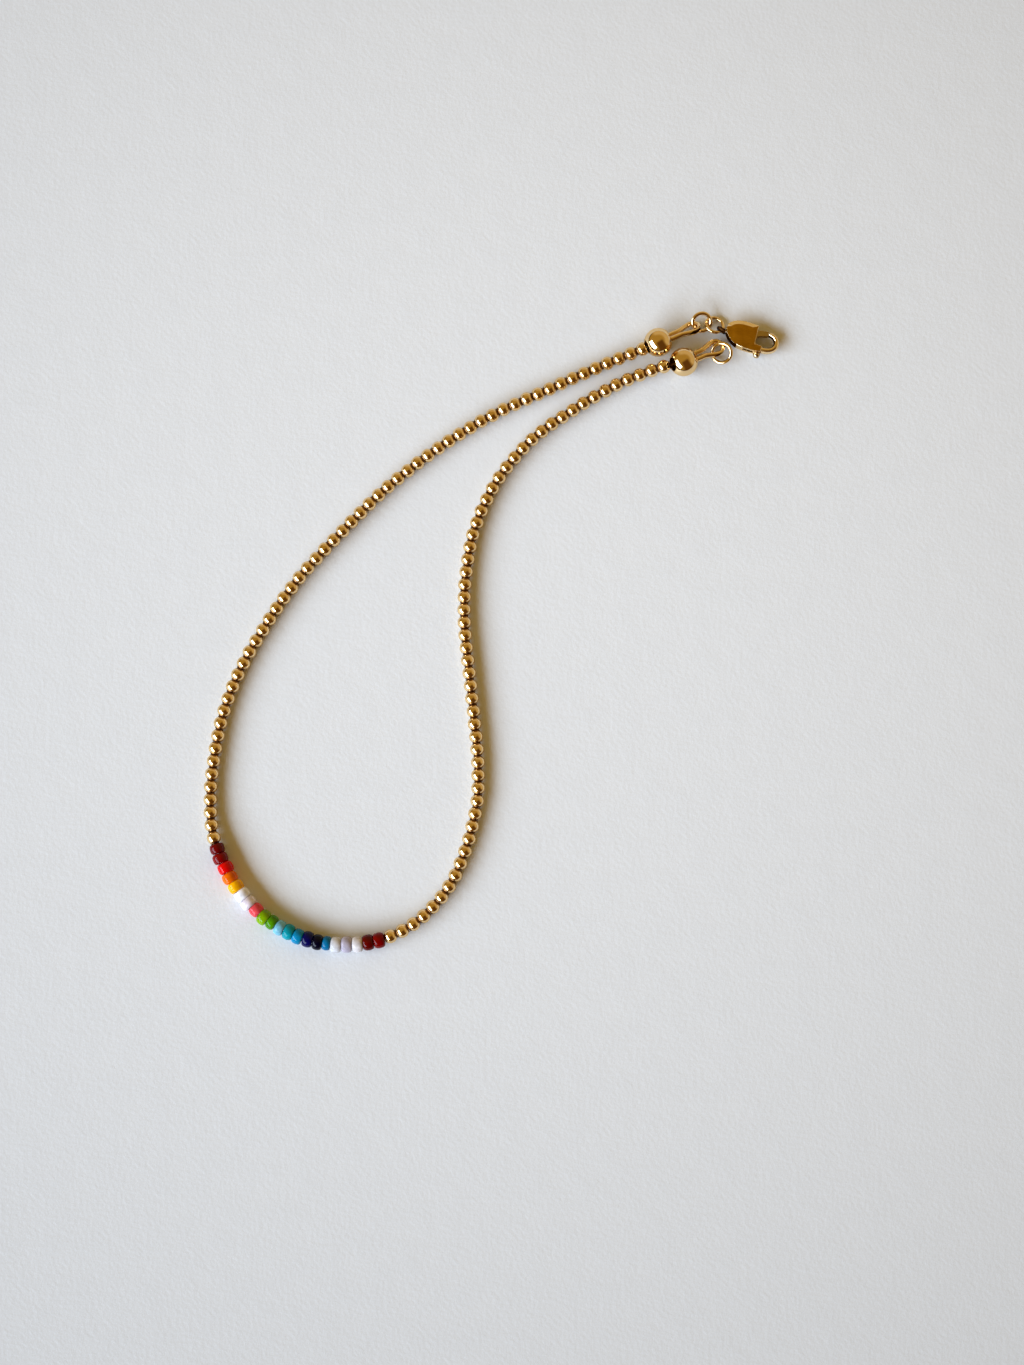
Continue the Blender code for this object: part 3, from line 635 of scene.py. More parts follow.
SEEDS = [
    ("burgundy", (0.125, 0.0005, 0.001), 2.16, 1.42, 0.03),
    ("dark_red", (0.180, 0.0005, 0.001), 2.26, 1.48, -0.04),
    ("bright_red", (0.620, 0.001, 0.001), 2.30, 1.55, 0.07),
    ("orange", (0.740, 0.120, 0.001), 2.24, 1.50, -0.05),
    ("amber", (0.930, 0.400, 0.001), 2.30, 1.50, 0.00),
    ("white_a", (0.830, 0.810, 0.850), 2.34, 1.46, 0.05),
    ("white_b", (0.740, 0.650, 0.700), 2.30, 1.44, -0.04),
    ("coral", (0.700, 0.062, 0.072), 2.06, 1.50, 0.06),
    ("lime", (0.190, 0.340, 0.001), 2.32, 1.45, -0.06),
    ("green", (0.065, 0.230, 0.001), 2.20, 1.30, 0.05),
    ("pale_blue", (0.170, 0.430, 0.540), 2.28, 1.35, -0.03),
    ("teal", (0.001, 0.250, 0.300), 2.34, 1.45, 0.03),
    ("cerulean", (0.001, 0.200, 0.380), 2.30, 1.42, -0.04),
    ("navy", (0.0005, 0.0005, 0.060), 2.34, 1.48, 0.03),
    ("midnight", (0.0003, 0.0003, 0.008), 2.30, 1.38, -0.03),
    ("turquoise", (0.001, 0.130, 0.280), 2.10, 1.18, 0.05),
    ("white_c", (0.600, 0.590, 0.610), 2.32, 1.50, -0.04),
    ("lavender", (0.420, 0.370, 0.440), 2.36, 1.52, 0.04),
    ("white_d", (0.640, 0.590, 0.580), 2.32, 1.52, -0.03),
    ("dark_red_a", (0.095, 0.0003, 0.0005), 2.30, 1.54, 0.03),
    ("dark_red_b", (0.160, 0.0003, 0.0005), 2.28, 1.56, -0.02),
]
SEED_AXIS_HEIGHT = max(diameter for _, _, diameter, _, _ in SEEDS) / 2

# %% Lift the wire and share its length out among the beads
def strand_length(cover_to_bead):
    return cover_to_bead + (GOLD_BEADS_A_SIDE - 0.5) * BEAD_LENGTH


def lifted(plan):
    """The wire's middle line, raised to where its beads and covers hold it."""
    seeds_start = strand_length(COVER_TO_BEAD_CLASP_END)
    seeds_end = plan.length - strand_length(COVER_TO_BEAD_RING_END)
    low = GOLD_BEAD_DIAMETER / 2
    points = []
    for point, reached in zip(plan.points, plan.reached):
        to_cover = min(reached, plan.length - reached)
        to_seeds = max(seeds_start - reached, reached - seeds_end)
        height = low
        height += (COVER_RADIUS - low) * smooth_step(1 - to_cover / RISE_AT_COVERS)
        height += (SEED_AXIS_HEIGHT - low) * smooth_step(1 - to_seeds / RISE_AT_SEEDS)
        points.append(Vector((point.x, point.y, height)))
    return Line(points)


wire = lifted(plan)
seeds_length = sum(length for _, _, _, length, _ in SEEDS)
beaded = wire.length - COVER_TO_BEAD_CLASP_END - COVER_TO_BEAD_RING_END - seeds_length
PITCH = beaded / (2 * GOLD_BEADS_A_SIDE - 1)
SEEDS_START = COVER_TO_BEAD_CLASP_END + (GOLD_BEADS_A_SIDE - 0.5) * PITCH
SEEDS_END = SEEDS_START + seeds_length
print("gold bead pitch:", round(PITCH, 3), "mm; glass beads:", round(seeds_length, 1), "mm")

# %% [markdown]
# ## Making forms
#
# Most of a jewel is turned or drawn. A turned form is a profile that goes once round an axis, as on
# a lathe, and a drawn form is a section that follows a line, as wire does. Both are a few lines of
# mesh code, and give closed bodies with even faces.

# %% Turned forms
def turned(profile, sides):
    """A mesh from a closed profile of (radius, height) in millimetres, turned once round Z."""
    form = bmesh.new()
    corners = [form.verts.new((radius, 0.0, height)) for radius, height in profile]
    outline = [form.edges.new(pair) for pair in zip(corners, corners[1:] + corners[:1])]
    bmesh.ops.spin(form, geom=corners + outline, cent=(0.0, 0.0, 0.0), axis=(0.0, 0.0, 1.0),
                   angle=math.tau, steps=sides, use_merge=True)
    bmesh.ops.remove_doubles(form, verts=form.verts, dist=1e-5)
    bmesh.ops.recalc_face_normals(form, faces=form.faces)
    mesh = bpy.data.meshes.new("turned")
    form.to_mesh(mesh)
    form.free()
    return mesh


def stand_along(place, direction, spin=0.0):
    """The matrix that puts a turned form at a place, its axis along a direction."""
    turn = direction.to_track_quat('Z', 'Y').to_matrix().to_4x4()
    return Matrix.Translation(place) @ turn @ Matrix.Rotation(spin, 4, 'Z')


# %% Drawn forms
def drawn(points, section_at, name="drawn", first_side=None, closed=False):
    """A mesh from a section that follows the points, all in millimetres.

    section_at(index) gives the section as (across, up) pairs. The section is carried along without
    twisting, starting with its first side towards first_side.
    """
    form = bmesh.new()
    rings = []
    side = None
    for index, point in enumerate(points):
        before = points[max(index - 1, 0)]
        after = points[min(index + 1, len(points) - 1)]
        if closed:
            before, after = points[index - 1], points[(index + 1) % len(points)]
        ahead = (after - before).normalized()
        side = side if side is not None else Vector(first_side or ahead.orthogonal())
        side = (side - ahead * side.dot(ahead)).normalized()
        up = ahead.cross(side)
        rings.append([form.verts.new(point + side * across + up * high)
                      for across, high in section_at(index)])
    pairs = list(zip(rings, rings[1:]))
    if closed:
        pairs.append((rings[-1], rings[0]))
    for first, second in pairs:
        count = len(first)
        for corner in range(count):
            beside = (corner + 1) % count
            form.faces.new((first[corner], first[beside], second[beside], second[corner]))
    if not closed:
        form.faces.new(list(reversed(rings[0])))
        form.faces.new(rings[-1])
    bmesh.ops.recalc_face_normals(form, faces=form.faces)
    mesh = bpy.data.meshes.new(name)
    form.to_mesh(mesh)
    form.free()
    return mesh


def round_section(radius, sides=16):
    """A round section as (across, up) pairs."""
    return [(radius * math.cos(math.tau * side / sides), radius * math.sin(math.tau * side / sides))
            for side in range(sides)]


# %% Putting a piece in its place
def put_in_place(name, mesh, finishes, node, body="anklet", matrix=TO_FRAME, sharp=None):
    """Bring a mesh to the frame in metres, and let it stand for its CAD node."""
    mesh.transform(matrix)
    mesh.shade_smooth()
    if sharp is not None:
        mesh.set_sharp_from_angle(angle=math.radians(sharp))
    for finish in finishes:
        mesh.materials.append(finish)
    piece = bpy.data.objects.new(name, mesh)
    bpy.context.scene.collection.objects.link(piece)
    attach(piece, body)
    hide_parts(node)
    return piece


# %% [markdown]
# ## The gold beads
#
# A bead starts as a short piece of gold-filled tube that is pressed towards a ball. Its belly is
# round, and at each end a little of the tube is left as a collar, so it is shorter than it is wide
# and meets its neighbour in a narrow, dull neck. We turn one profile: round the belly, along the
# collar, over the lip, and back along the bore. The belly is a superellipse: a power of 2 makes it
# an ellipse, and a greater one makes it squarer.

# %% One bead
BEAD_BORE = 0.27
BEAD_SQUARENESS = 2.1
BEAD_BELLY_REACH = 0.92                  # mm from the middle to where the belly alone would end
BEAD_COLLAR = 0.61
BEAD_ARC_STEPS = 20
BEAD_SIDES = 28
# Painted shade in the notches between beads, with duller metal: where it starts and where it is full.
SHADE_AND_DULL_SPAN = (0.72, 0.84)                 # of the way from a bead's middle to its end: first and full


def rounded_power(value, power):
    """What a superellipse puts in place of a sine or cosine."""
    return math.copysign(abs(value) ** (2 / power), value)


def bead_profile(radius, half_length):
    """From the collar at one end round the belly to the other, then back through the bore."""
    start = math.asin((BEAD_COLLAR / radius) ** (BEAD_SQUARENESS / 2))
    belly = []
    for step in range(BEAD_ARC_STEPS + 1):
        angle = start + (math.pi - 2 * start) * step / BEAD_ARC_STEPS
        belly.append((radius * rounded_power(math.sin(angle), BEAD_SQUARENESS),
                      BEAD_BELLY_REACH * rounded_power(math.cos(angle), BEAD_SQUARENESS)))
    lip = [(BEAD_COLLAR - 0.02, -half_length + 0.05), (BEAD_COLLAR - 0.08, -half_length),
           (BEAD_BORE + 0.02, -half_length), (BEAD_BORE, -half_length + 0.03)]
    return belly + lip + [(r, -h) for r, h in reversed(lip)]


BEAD_AIR = 0.012                         # between two beads on the wire
BEAD_HALF_LENGTH = (PITCH - BEAD_AIR) / 2
bead = turned(bead_profile(GOLD_BEAD_DIAMETER / 2, BEAD_HALF_LENGTH), BEAD_SIDES)
# Each point's share of painted shade and dullness, from how near it is to the bead's end.
notch_shade_and_dullness = []
for point in bead.vertices:
    towards_end = abs(point.co.z) / BEAD_HALF_LENGTH
    notch_shade_and_dullness.append(smooth_step((towards_end - SHADE_AND_DULL_SPAN[0]) / (SHADE_AND_DULL_SPAN[1] - SHADE_AND_DULL_SPAN[0])))
print("one gold bead:", len(bead.vertices), "points")

# %% [markdown]
# A strand is fifty-six copies of that bead, joined in one mesh. Each copy sits on the wire, looks
# along it, and is turned and tilted by a hair, because a strung bead rattles on its wire. The tone
# of each bead is written on its points for the gold finish to read. The wire itself runs on inside,
# with the near-black painted shade, and shows as a dark thread in the notches.

# %% Two strands of gold beads
WIRE_RADIUS = 0.20
STUB_START = 0.05
CORE_STEPS = 160
CORE_SIDES = 10
BEAD_TILT = math.radians(2.2)
BEAD_WANDER = 0.025
TONE_SPREAD = 0.5


def strand(name, node, first, stub, seed):
    """All the beads of one side and the wire in them, as one piece."""
    dice = random.Random(seed)
    joined = bmesh.new()
    tones = []
    near_hole = []
    for number in range(GOLD_BEADS_A_SIDE):
        distance = first + number * PITCH
        ahead = wire.direction(distance)
        tilt = Vector([dice.uniform(-1, 1) for _ in range(3)]) * math.sin(BEAD_TILT)
        wander = Vector((-ahead.y, ahead.x, 0.0)) * dice.uniform(-BEAD_WANDER, BEAD_WANDER)
        place = stand_along(wire.at(distance) + wander, (ahead + tilt).normalized(),
                            dice.uniform(0, math.tau))
        copy = bead.copy()
        copy.transform(place)
        joined.from_mesh(copy)
        bpy.data.meshes.remove(copy)
        tones += [dice.random() * TONE_SPREAD] * len(bead.vertices)
        near_hole += notch_shade_and_dullness
    low, high = stub
    line = [wire.at(low + (high - low) * step / CORE_STEPS) for step in range(CORE_STEPS + 1)]
    core = drawn(line, lambda index: round_section(WIRE_RADIUS, CORE_SIDES))
    bead_faces = len(joined.faces)
    joined.from_mesh(core)
    tones += [0.0] * len(core.vertices)
    near_hole += [0.0] * len(core.vertices)
    bpy.data.meshes.remove(core)
    # The wire inside the beads gets the near-black painted shade.
    joined.faces.ensure_lookup_table()
    for face in joined.faces[bead_faces:]:
        face.material_index = 1
    mesh = bpy.data.meshes.new(name)
    joined.to_mesh(mesh)
    joined.free()
    mesh.attributes.new(TONE, 'FLOAT', 'POINT').data.foreach_set("value", tones)
    mesh.attributes.new(NEAR_HOLE, 'FLOAT', 'POINT').data.foreach_set("value", near_hole)
    return put_in_place(name, mesh, [GOLD, PAINTED_SHADE], node)


left = strand("gold_beads_left", "gold_strand_left", COVER_TO_BEAD_CLASP_END,
              (STUB_START, SEEDS_START), seed=3)
right = strand("gold_beads_right", "gold_strand_right", SEEDS_END + PITCH / 2,
               (SEEDS_END, wire.length - STUB_START), seed=8)
print("left strand:", len(left.data.polygons), "faces; right:", len(right.data.polygons), "faces")

# %% [markdown]
# ## The glass beads
#
# A seed bead is a little doughnut: its section is a fat rounded block that touches its neighbours
# only in a ring. We draw that section with a formula, a superellipse, whose power sets how boxy it
# is. Then each bead gets what tumbling gave it: a slightly oval outline, and a lean on the wire.

# %% Twenty-one glass beads
SEED_HOLE_RADIUS = 0.42
SEED_GAP = 0.03
SEED_BOXINESS = 2.05
SEED_SECTION_STEPS = 22
SEED_SIDES = 36
SEED_LEAN = math.radians(3.5)
SEED_OVAL = 0.018


def seed_profile(diameter, length):
    """The doughnut's section: a superellipse between the hole and the outer side."""
    outer = diameter / 2
    middle = (outer + SEED_HOLE_RADIUS) / 2
    across = (outer - SEED_HOLE_RADIUS) / 2
    along = (length - SEED_GAP) / 2
    section = []
    for step in range(SEED_SECTION_STEPS):
        angle = math.tau * step / SEED_SECTION_STEPS
        section.append((middle + across * rounded_power(math.cos(angle), SEED_BOXINESS),
                        along * rounded_power(math.sin(angle), SEED_BOXINESS)))
    return section


dice = random.Random(21)
reached = SEEDS_START
for number, (colour_name, colour, diameter, length, side) in enumerate(SEEDS, start=1):
    label = f"seed_{number:02d}_{colour_name}"
    distance = reached + length / 2
    ahead = wire.direction(distance)
    to_left = Vector((-ahead.y, ahead.x, 0.0)).normalized()
    lean = to_left * dice.uniform(-1, 1) * math.sin(SEED_LEAN)
    place = stand_along(wire.at(distance) + to_left * side, (ahead + lean).normalized(),
                        dice.uniform(0, math.tau))
    squash = [1.0 - dice.uniform(0, SEED_OVAL) for _ in range(2)]
    oval = Matrix.Diagonal((*squash, 1.0, 1.0))
    mesh = turned(seed_profile(diameter, length), SEED_SIDES)
    put_in_place(f"glass_bead_{number:02d}_{colour_name}", mesh, [glass(f"rod_{colour_name}", colour)],
                 label, matrix=TO_FRAME @ place @ oval)
    reached += length
print("glass beads:", number, "over", round(reached - SEEDS_START, 1), "mm")

# %% [markdown]
# The wire shows between glass beads. Its own node is already the right shape, a thin tube, so it
# stays and only gets its finish. A node's material slots may be filled anew, but its mesh stays as
# it is. The crushed tubes inside the covers and the clasp's pin are treated the same way.

# %% Finishes for the nodes that stay
def refinish(node, finish):
    """Give a CAD node that stays another finish."""
    mesh = frame["nodes"][node].data
    mesh.materials.clear()
    mesh.materials.append(finish)


refinish("bead_wire", WIRE_COAT)
for node in ("crimp_tube_clasp_end", "crimp_tube_ring_end", "clasp_pin"):
    refinish(node, GOLD)
print("nodes refinished: 4")

# %% [markdown]
# ## The crimp covers
#
# A crimp cover is a hollow gold ball that is closed over the crushed tube with pliers. It is open at
# both ends: a small round mouth for the strand and a wider one for the guard. The wall has a
# thickness that shows at the mouths, so we turn the ball with its inside and give the lips a curl.
# The inside gets the near-black painted shade, so it is dark, and so is the mouth of the cover that is
# tipped up.

# %% Two covers
COVER_WALL = 0.28
COVER_STRAND_HOLE = 0.94
COVER_GUARD_HOLE = 1.20
COVER_OUTER_STEPS = 36
COVER_INNER_STEPS = 14
COVER_SIDES = 64
AIM_REACH = 1.2
AIM_SHARE = 2
MOUTH_TIP = {"clasp_end": math.radians(4.0), "ring_end": math.radians(18.0)}
GUARDS = {
    "clasp_end": ((23.24, 42.11, 2.30), (28.21, 44.46, 1.21), -41.2),
    "ring_end": ((26.87, 39.24, 2.30), (31.65, 41.59, 1.10), -12.2),
}


def cover_profile():
    """Down the outer side from the guard's mouth, round the lip, and up the inner side."""
    profile = []
    inner = COVER_RADIUS - COVER_WALL
    lip = COVER_WALL * 0.30
    sides = ((COVER_RADIUS, COVER_OUTER_STEPS, True), (inner, COVER_INNER_STEPS, False))
    for radius, steps, down in sides:
        top = math.asin((COVER_GUARD_HOLE + lip) / radius)
        bottom = math.pi - math.asin((COVER_STRAND_HOLE + lip) / radius)
        for step in range(steps + 1):
            part = step / steps if down else 1 - step / steps
            angle = top + (bottom - top) * part
            profile.append((radius * math.sin(angle), radius * math.cos(angle)))
        if down:
            middle = COVER_RADIUS - COVER_WALL / 2
            angle = math.pi - math.asin(COVER_STRAND_HOLE / middle)
            profile.append((COVER_STRAND_HOLE, middle * math.cos(angle)))
    angle = math.asin(COVER_GUARD_HOLE / (COVER_RADIUS - COVER_WALL / 2))
    profile.append((COVER_GUARD_HOLE, (COVER_RADIUS - COVER_WALL / 2) * math.cos(angle)))
    return profile


for end, at_start in (("clasp_end", True), ("ring_end", False)):
    distance = 0.0 if at_start else wire.length
    inwards = 1 if at_start else -1
    outwards = wire.direction(distance + inwards * AIM_REACH, AIM_REACH) * -inwards
    start, loop, _ = GUARDS[end]
    guard_way = (Vector(loop) - Vector(start)).normalized()
    level = outwards * AIM_SHARE + guard_way
    level.z = 0.0
    aim = level.normalized() * math.cos(MOUTH_TIP[end]) - Vector((0.0, 0.0, math.sin(MOUTH_TIP[end])))
    shell = turned(cover_profile(), COVER_SIDES)
    # The inside of the ball gets the near-black painted shade.
    inside = [1 if face.center.length < COVER_RADIUS - COVER_WALL / 2 else 0 for face in shell.polygons]
    shell.polygons.foreach_set("material_index", inside)
    ball = put_in_place(f"cover_{end}", shell, [GOLD, PAINTED_SHADE], f"crimp_cover_{end}",
                        matrix=TO_FRAME @ stand_along(wire.at(distance), aim))
    print(ball.name, len(ball.data.polygons), "faces")

# %% [markdown]
# ## The wire guards
#
# A guard is one small tube bent to a horseshoe, with the outer half of its bend cut open, so that
# the wire can be laid in. Its section is therefore a C all the way: the two lips nearly meet along
# the legs, and part to an open channel round the bend.

# %% Two guards
GUARD_TUBE_RADIUS = 0.39
GUARD_WALL = 0.10
GUARD_LEG_OFFSET = 0.52
GUARD_LOOP_RADIUS = 1.05
GUARD_FLARE_LENGTH = 2.4
GUARD_LEG_LENGTH = 3.9
SEAM_HALF_ANGLE = math.radians(2.5)
CHANNEL_HALF_ANGLE = math.radians(62.0)
CHANNEL_FROM = 0.55                      # of the flare's way from the legs to the bend
SECTION_STEPS = 18
FLARE_STEPS = 14
BEND_STEPS = 28


def tilted_frame(heading, pitch, roll):
    """Forward, side and normal directions of something headed, pitched and rolled, in radians."""
    forward = Vector((math.cos(heading) * math.cos(pitch), math.sin(heading) * math.cos(pitch),
                      math.sin(pitch)))
    level_side = Vector((-math.sin(heading), math.cos(heading), 0.0))
    side = level_side * math.cos(roll) + forward.cross(level_side) * math.sin(roll)
    return forward, side, forward.cross(side)


def guard_path():
    """The guard's middle line in its own plane, with how far its channel is open at each point."""
    leg = []
    backs = [GUARD_LEG_LENGTH]
    backs += [GUARD_FLARE_LENGTH * (1 - step / FLARE_STEPS) for step in range(FLARE_STEPS)]
    for back in backs:
        part = smooth_step(1 - back / GUARD_FLARE_LENGTH)
        offset = GUARD_LEG_OFFSET + (GUARD_LOOP_RADIUS - GUARD_LEG_OFFSET) * part
        leg.append((-back, offset, smooth_step((part - CHANNEL_FROM) / (1 - CHANNEL_FROM))))
    bend = [(GUARD_LOOP_RADIUS * math.sin(math.pi * step / BEND_STEPS),
             GUARD_LOOP_RADIUS * math.cos(math.pi * step / BEND_STEPS), 1.0)
            for step in range(BEND_STEPS + 1)]
    return leg + bend + [(along, -offset, part) for along, offset, part in reversed(leg)]


def channel_section(openness):
    """A C whose gap faces the first side, from a hairline seam to an open channel."""
    half_gap = SEAM_HALF_ANGLE + (CHANNEL_HALF_ANGLE - SEAM_HALF_ANGLE) * openness
    angles = [half_gap + (math.tau - 2 * half_gap) * step / SECTION_STEPS
              for step in range(SECTION_STEPS + 1)]
    inner = GUARD_TUBE_RADIUS - GUARD_WALL
    outside = [(GUARD_TUBE_RADIUS * math.cos(a), GUARD_TUBE_RADIUS * math.sin(a)) for a in angles]
    inside = [(inner * math.cos(a), inner * math.sin(a)) for a in reversed(angles)]
    return outside + inside


for end in GUARDS:
    start, loop, roll = GUARDS[end]
    reach = Vector(loop) - Vector(start)
    heading = math.atan2(reach.y, reach.x)
    pitch = math.atan2(reach.z, math.hypot(reach.x, reach.y))
    forward, side, _ = tilted_frame(heading, pitch, math.radians(roll))
    path = guard_path()
    points = [Vector(loop) + forward * along + side * offset for along, offset, _ in path]
    sections = [channel_section(part) for _, _, part in path]
    mesh = drawn(points, lambda index: sections[index], first_side=side)
    corners = len(sections[0])
    # The inner wall of the C gets the near-black painted shade, for a dark channel.
    inside = [1 if SECTION_STEPS < face.index % corners < corners - 1 else 0 for face in mesh.polygons]
    mesh.polygons.foreach_set("material_index", inside)
    guard = put_in_place(f"guard_{end}", mesh, [GOLD, PAINTED_SHADE], f"wire_guard_{end}", sharp=50)
    print(guard.name, len(guard.data.polygons), "faces")

# %% [markdown]
# ## The rings
#
# A jump ring is one turn of round wire, sawn off a coil, so its ends meet in a hairline. We draw the
# round section along almost a full circle and leave that hair of air between its ends. Each row of
# the table gives a ring's middle, its radius and its wire's radius in millimetres, and then its
# heading, roll and pitch in degrees, because the rings came to rest leaning on each other.

# %% Three rings
RINGS = {
    "jump_ring_guard": ((29.57, 45.30, 1.215), 1.325, 0.275, 0.0, 29.1, -8.3),
    "jump_ring_clasp": ((31.48, 44.99, 0.84), 1.28, 0.25, -20.0, -24.8, -4.1),
    "end_ring": ((32.43, 40.79, 1.13), 1.40, 0.26, 20.0, 9.7, 22.4),
}
RING_CUT = {"jump_ring_guard": 250.0, "jump_ring_clasp": 100.0, "end_ring": 300.0}
CUT_WIDTH = 0.03
RING_STEPS = 72
RING_SIDES = 20

for name, (middle, radius, wire_radius, heading, roll, pitch) in RINGS.items():
    forward, side, _ = tilted_frame(math.radians(heading), math.radians(pitch), math.radians(roll))
    cut = CUT_WIDTH / radius
    points = []
    for step in range(RING_STEPS + 1):
        angle = math.radians(RING_CUT[name]) + cut / 2 + (math.tau - cut) * step / RING_STEPS
        points.append(Vector(middle) + (forward * math.cos(angle) + side * math.sin(angle)) * radius)
    mesh = drawn(points, lambda index: round_section(wire_radius, RING_SIDES))
    ring = put_in_place(f"{name}_wire", mesh, [GOLD], name, sharp=50)
    print(ring.name, len(ring.data.polygons), "faces")

# %% [markdown]
# ## The lobster clasp
#
# The clasp is cast in one piece: a flat plate, a hook that curls round from it, and an eye at its
# tail. Casting leaves no sharp edge anywhere. We put the same parts together with Booleans, in the
# clasp's own frame with u from tail to nose and v across, then remesh the result with a fine voxel
# grid and relax it a little. That melts the parts into each other as the casting wax did. Along one
# side the plate is filed to a wide chamfer, and that slope catches the light.

# %% Outlines of the clasp
CLASP_TAIL = (32.77, 43.86)
CLASP_HALF_THICKNESS = 1.0
PLATE_CHAMFER = (0.60, 0.36)             # how far it reaches in across the face and down the side
CRISP_EDGE = 0.12                        # of that chamfer, along the side that the thumb holds
UPPER_SIDE = 1.0                         # the v from which the chamfer is full
CHAMFER_END = 4.6                        # and the u at which it ends
PLATE_MIDDLE = (2.7, 0.25)
PLATE_REACH = (2.7, 2.0)                 # from its middle to its rim, along u and v
CROWN = 0.07                             # how much of its thickness the top face loses at the rim
CROWN_FROM = (0.5, 0.3)                  # the height where that starts, and how soon it is full
HOOK_HALF_THICKNESS = 0.72
SLOT_HALF_HEIGHT = 0.46
PIVOT = (3.9, 0.90)
PIN_HOLE_RADIUS = 0.28
PIN_HOLE_HALF_LENGTH = 0.88
PIN_HOLE_SIDES = 24
EYE_PLACE = (-0.30, 0.25, -0.05)
EYE_RADIUS = 0.66
EYE_TUBE_RADIUS = 0.22
EYE_TURN = math.radians(-18.9)
EYE_STEPS = 36
HOOK_SAMPLES = 40
HOOK_SIDES = 24
CASTING_GRID = 0.045                     # the voxel's size
CASTING_RELAXING = 3

BODY_OUTLINE = [
    (4.7, 1.98), (4.0, 2.12), (3.2, 2.19), (2.4, 2.19), (1.7, 2.10), (1.1, 1.90), (0.62, 1.60),
    (0.34, 1.20), (0.22, 0.75), (0.24, 0.30), (0.45, -0.20), (0.82, -0.68), (1.26, -1.08),
    (1.8, -1.40), (2.44, -1.60), (3.1, -1.71), (3.95, -1.76), (4.84, -1.77), (5.8, -1.66),
    (5.8, -0.80), (4.7, -0.72),
]
HOOK_LINE = [
    (4.6, -1.16, 0.45), (5.66, -1.20, 0.44), (6.6, -1.16, 0.43), (7.38, -0.83, 0.42),
    (7.78, -0.16, 0.41), (7.68, 0.53, 0.39), (7.18, 1.08, 0.37), (6.46, 1.30, 0.35),
]
SLOT_OUTLINE = [(3.2, 1.60), (5.3, 1.60), (5.3, -0.45), (5.9, -0.8), (5.9, -2.6), (3.2, -2.6)]
CLASP_PLACE = (TO_FRAME @ Matrix.Translation((*CLASP_TAIL, CLASP_HALF_THICKNESS))
               @ Matrix.Rotation(CLASP_HEADING, 4, 'Z'))
print("clasp length:", round(HOOK_LINE[4][0] + HOOK_LINE[4][2] - BODY_OUTLINE[8][0], 2), "mm")

# %% Helpers that build and melt the casting
def slab(name, outline, half_height, chamfer=None):
    """A flat outline with straight sides, as an object in millimetres.

    chamfer gives for each corner how far the two faces' rims lie inside the outline and how far the
    chamfer runs down the side.
    """
    form = bmesh.new()
    levels = [(-half_height, outline), (half_height, outline)]
    if chamfer is not None:
        rim = moved_in(outline, [inwards for inwards, _ in chamfer])
        downs = [down for _, down in chamfer]
        levels = [(-half_height, rim), (half_height, rim)]
        shoulders = [[(u, v, side * (half_height - down)) for (u, v), down in zip(outline, downs)]
                     for side in (-1, 1)]
    rings = [[form.verts.new((u, v, level)) for u, v in corners] for level, corners in levels]
    if chamfer is not None:
        rings[1:1] = [[form.verts.new(corner) for corner in shoulder] for shoulder in shoulders]
    count = len(outline)
    for lower, upper in zip(rings, rings[1:]):
        for corner in range(count):
            beside = (corner + 1) % count
            form.faces.new((lower[corner], lower[beside], upper[beside], upper[corner]))
    form.faces.new(list(reversed(rings[0])))
    form.faces.new(rings[-1])
    bmesh.ops.recalc_face_normals(form, faces=form.faces)
    mesh = bpy.data.meshes.new(name)
    form.to_mesh(mesh)
    form.free()
    return loose_object(name, mesh)


SHARPEST = 0.5                           # keeps a sharp corner from running far inwards


def moved_in(outline, distances):
    """The outline, drawn anticlockwise, with each corner moved inwards by a distance of its own."""
    corners = [Vector(corner) for corner in outline]
    moved = []
    for index, corner in enumerate(corners):
        before = (corner - corners[index - 1]).normalized()
        after = (corners[(index + 1) % len(corners)] - corner).normalized()
        left = Vector((-before.y - after.y, before.x + after.x)).normalized()
        slant = max(left.dot(Vector((-after.y, after.x))), SHARPEST)
        moved.append(tuple(corner + left * distances[index] / slant))
    return moved


def loose_object(name, mesh):
    piece = bpy.data.objects.new(name, mesh)
    bpy.context.scene.collection.objects.link(piece)
    return piece


def combine(piece, tool, operation):
    boolean = piece.modifiers.new(tool.name, 'BOOLEAN')
    boolean.solver = 'EXACT'
    boolean.operation = operation
    boolean.object = tool


def round_edges(piece, width, segments, angle):
    """Round the edges sharper than an angle."""
    edges = piece.modifiers.new("rounded_edges", 'BEVEL')
    edges.width = width
    edges.segments = segments
    edges.limit_method = 'ANGLE'
    edges.angle_limit = math.radians(angle)


def melt(piece, voxel, relaxing):
    """Remesh on a fine grid and relax, so that joints become fillets and edges become round."""
    grid = piece.modifiers.new("melted", 'REMESH')
    grid.mode = 'VOXEL'
    grid.voxel_size = voxel
    relax = piece.modifiers.new("relaxed", 'SMOOTH')
    relax.factor = 0.5
    relax.iterations = relaxing


def settled_mesh(piece, tools):
    """The object's mesh after its modifiers. The object and its tools are then thrown away."""
    bpy.context.view_layer.update()
    evaluated = piece.evaluated_get(bpy.context.evaluated_depsgraph_get())
    mesh = bpy.data.meshes.new_from_object(evaluated)
    for used in [piece, *tools]:
        bpy.data.objects.remove(used, do_unlink=True)
    return mesh


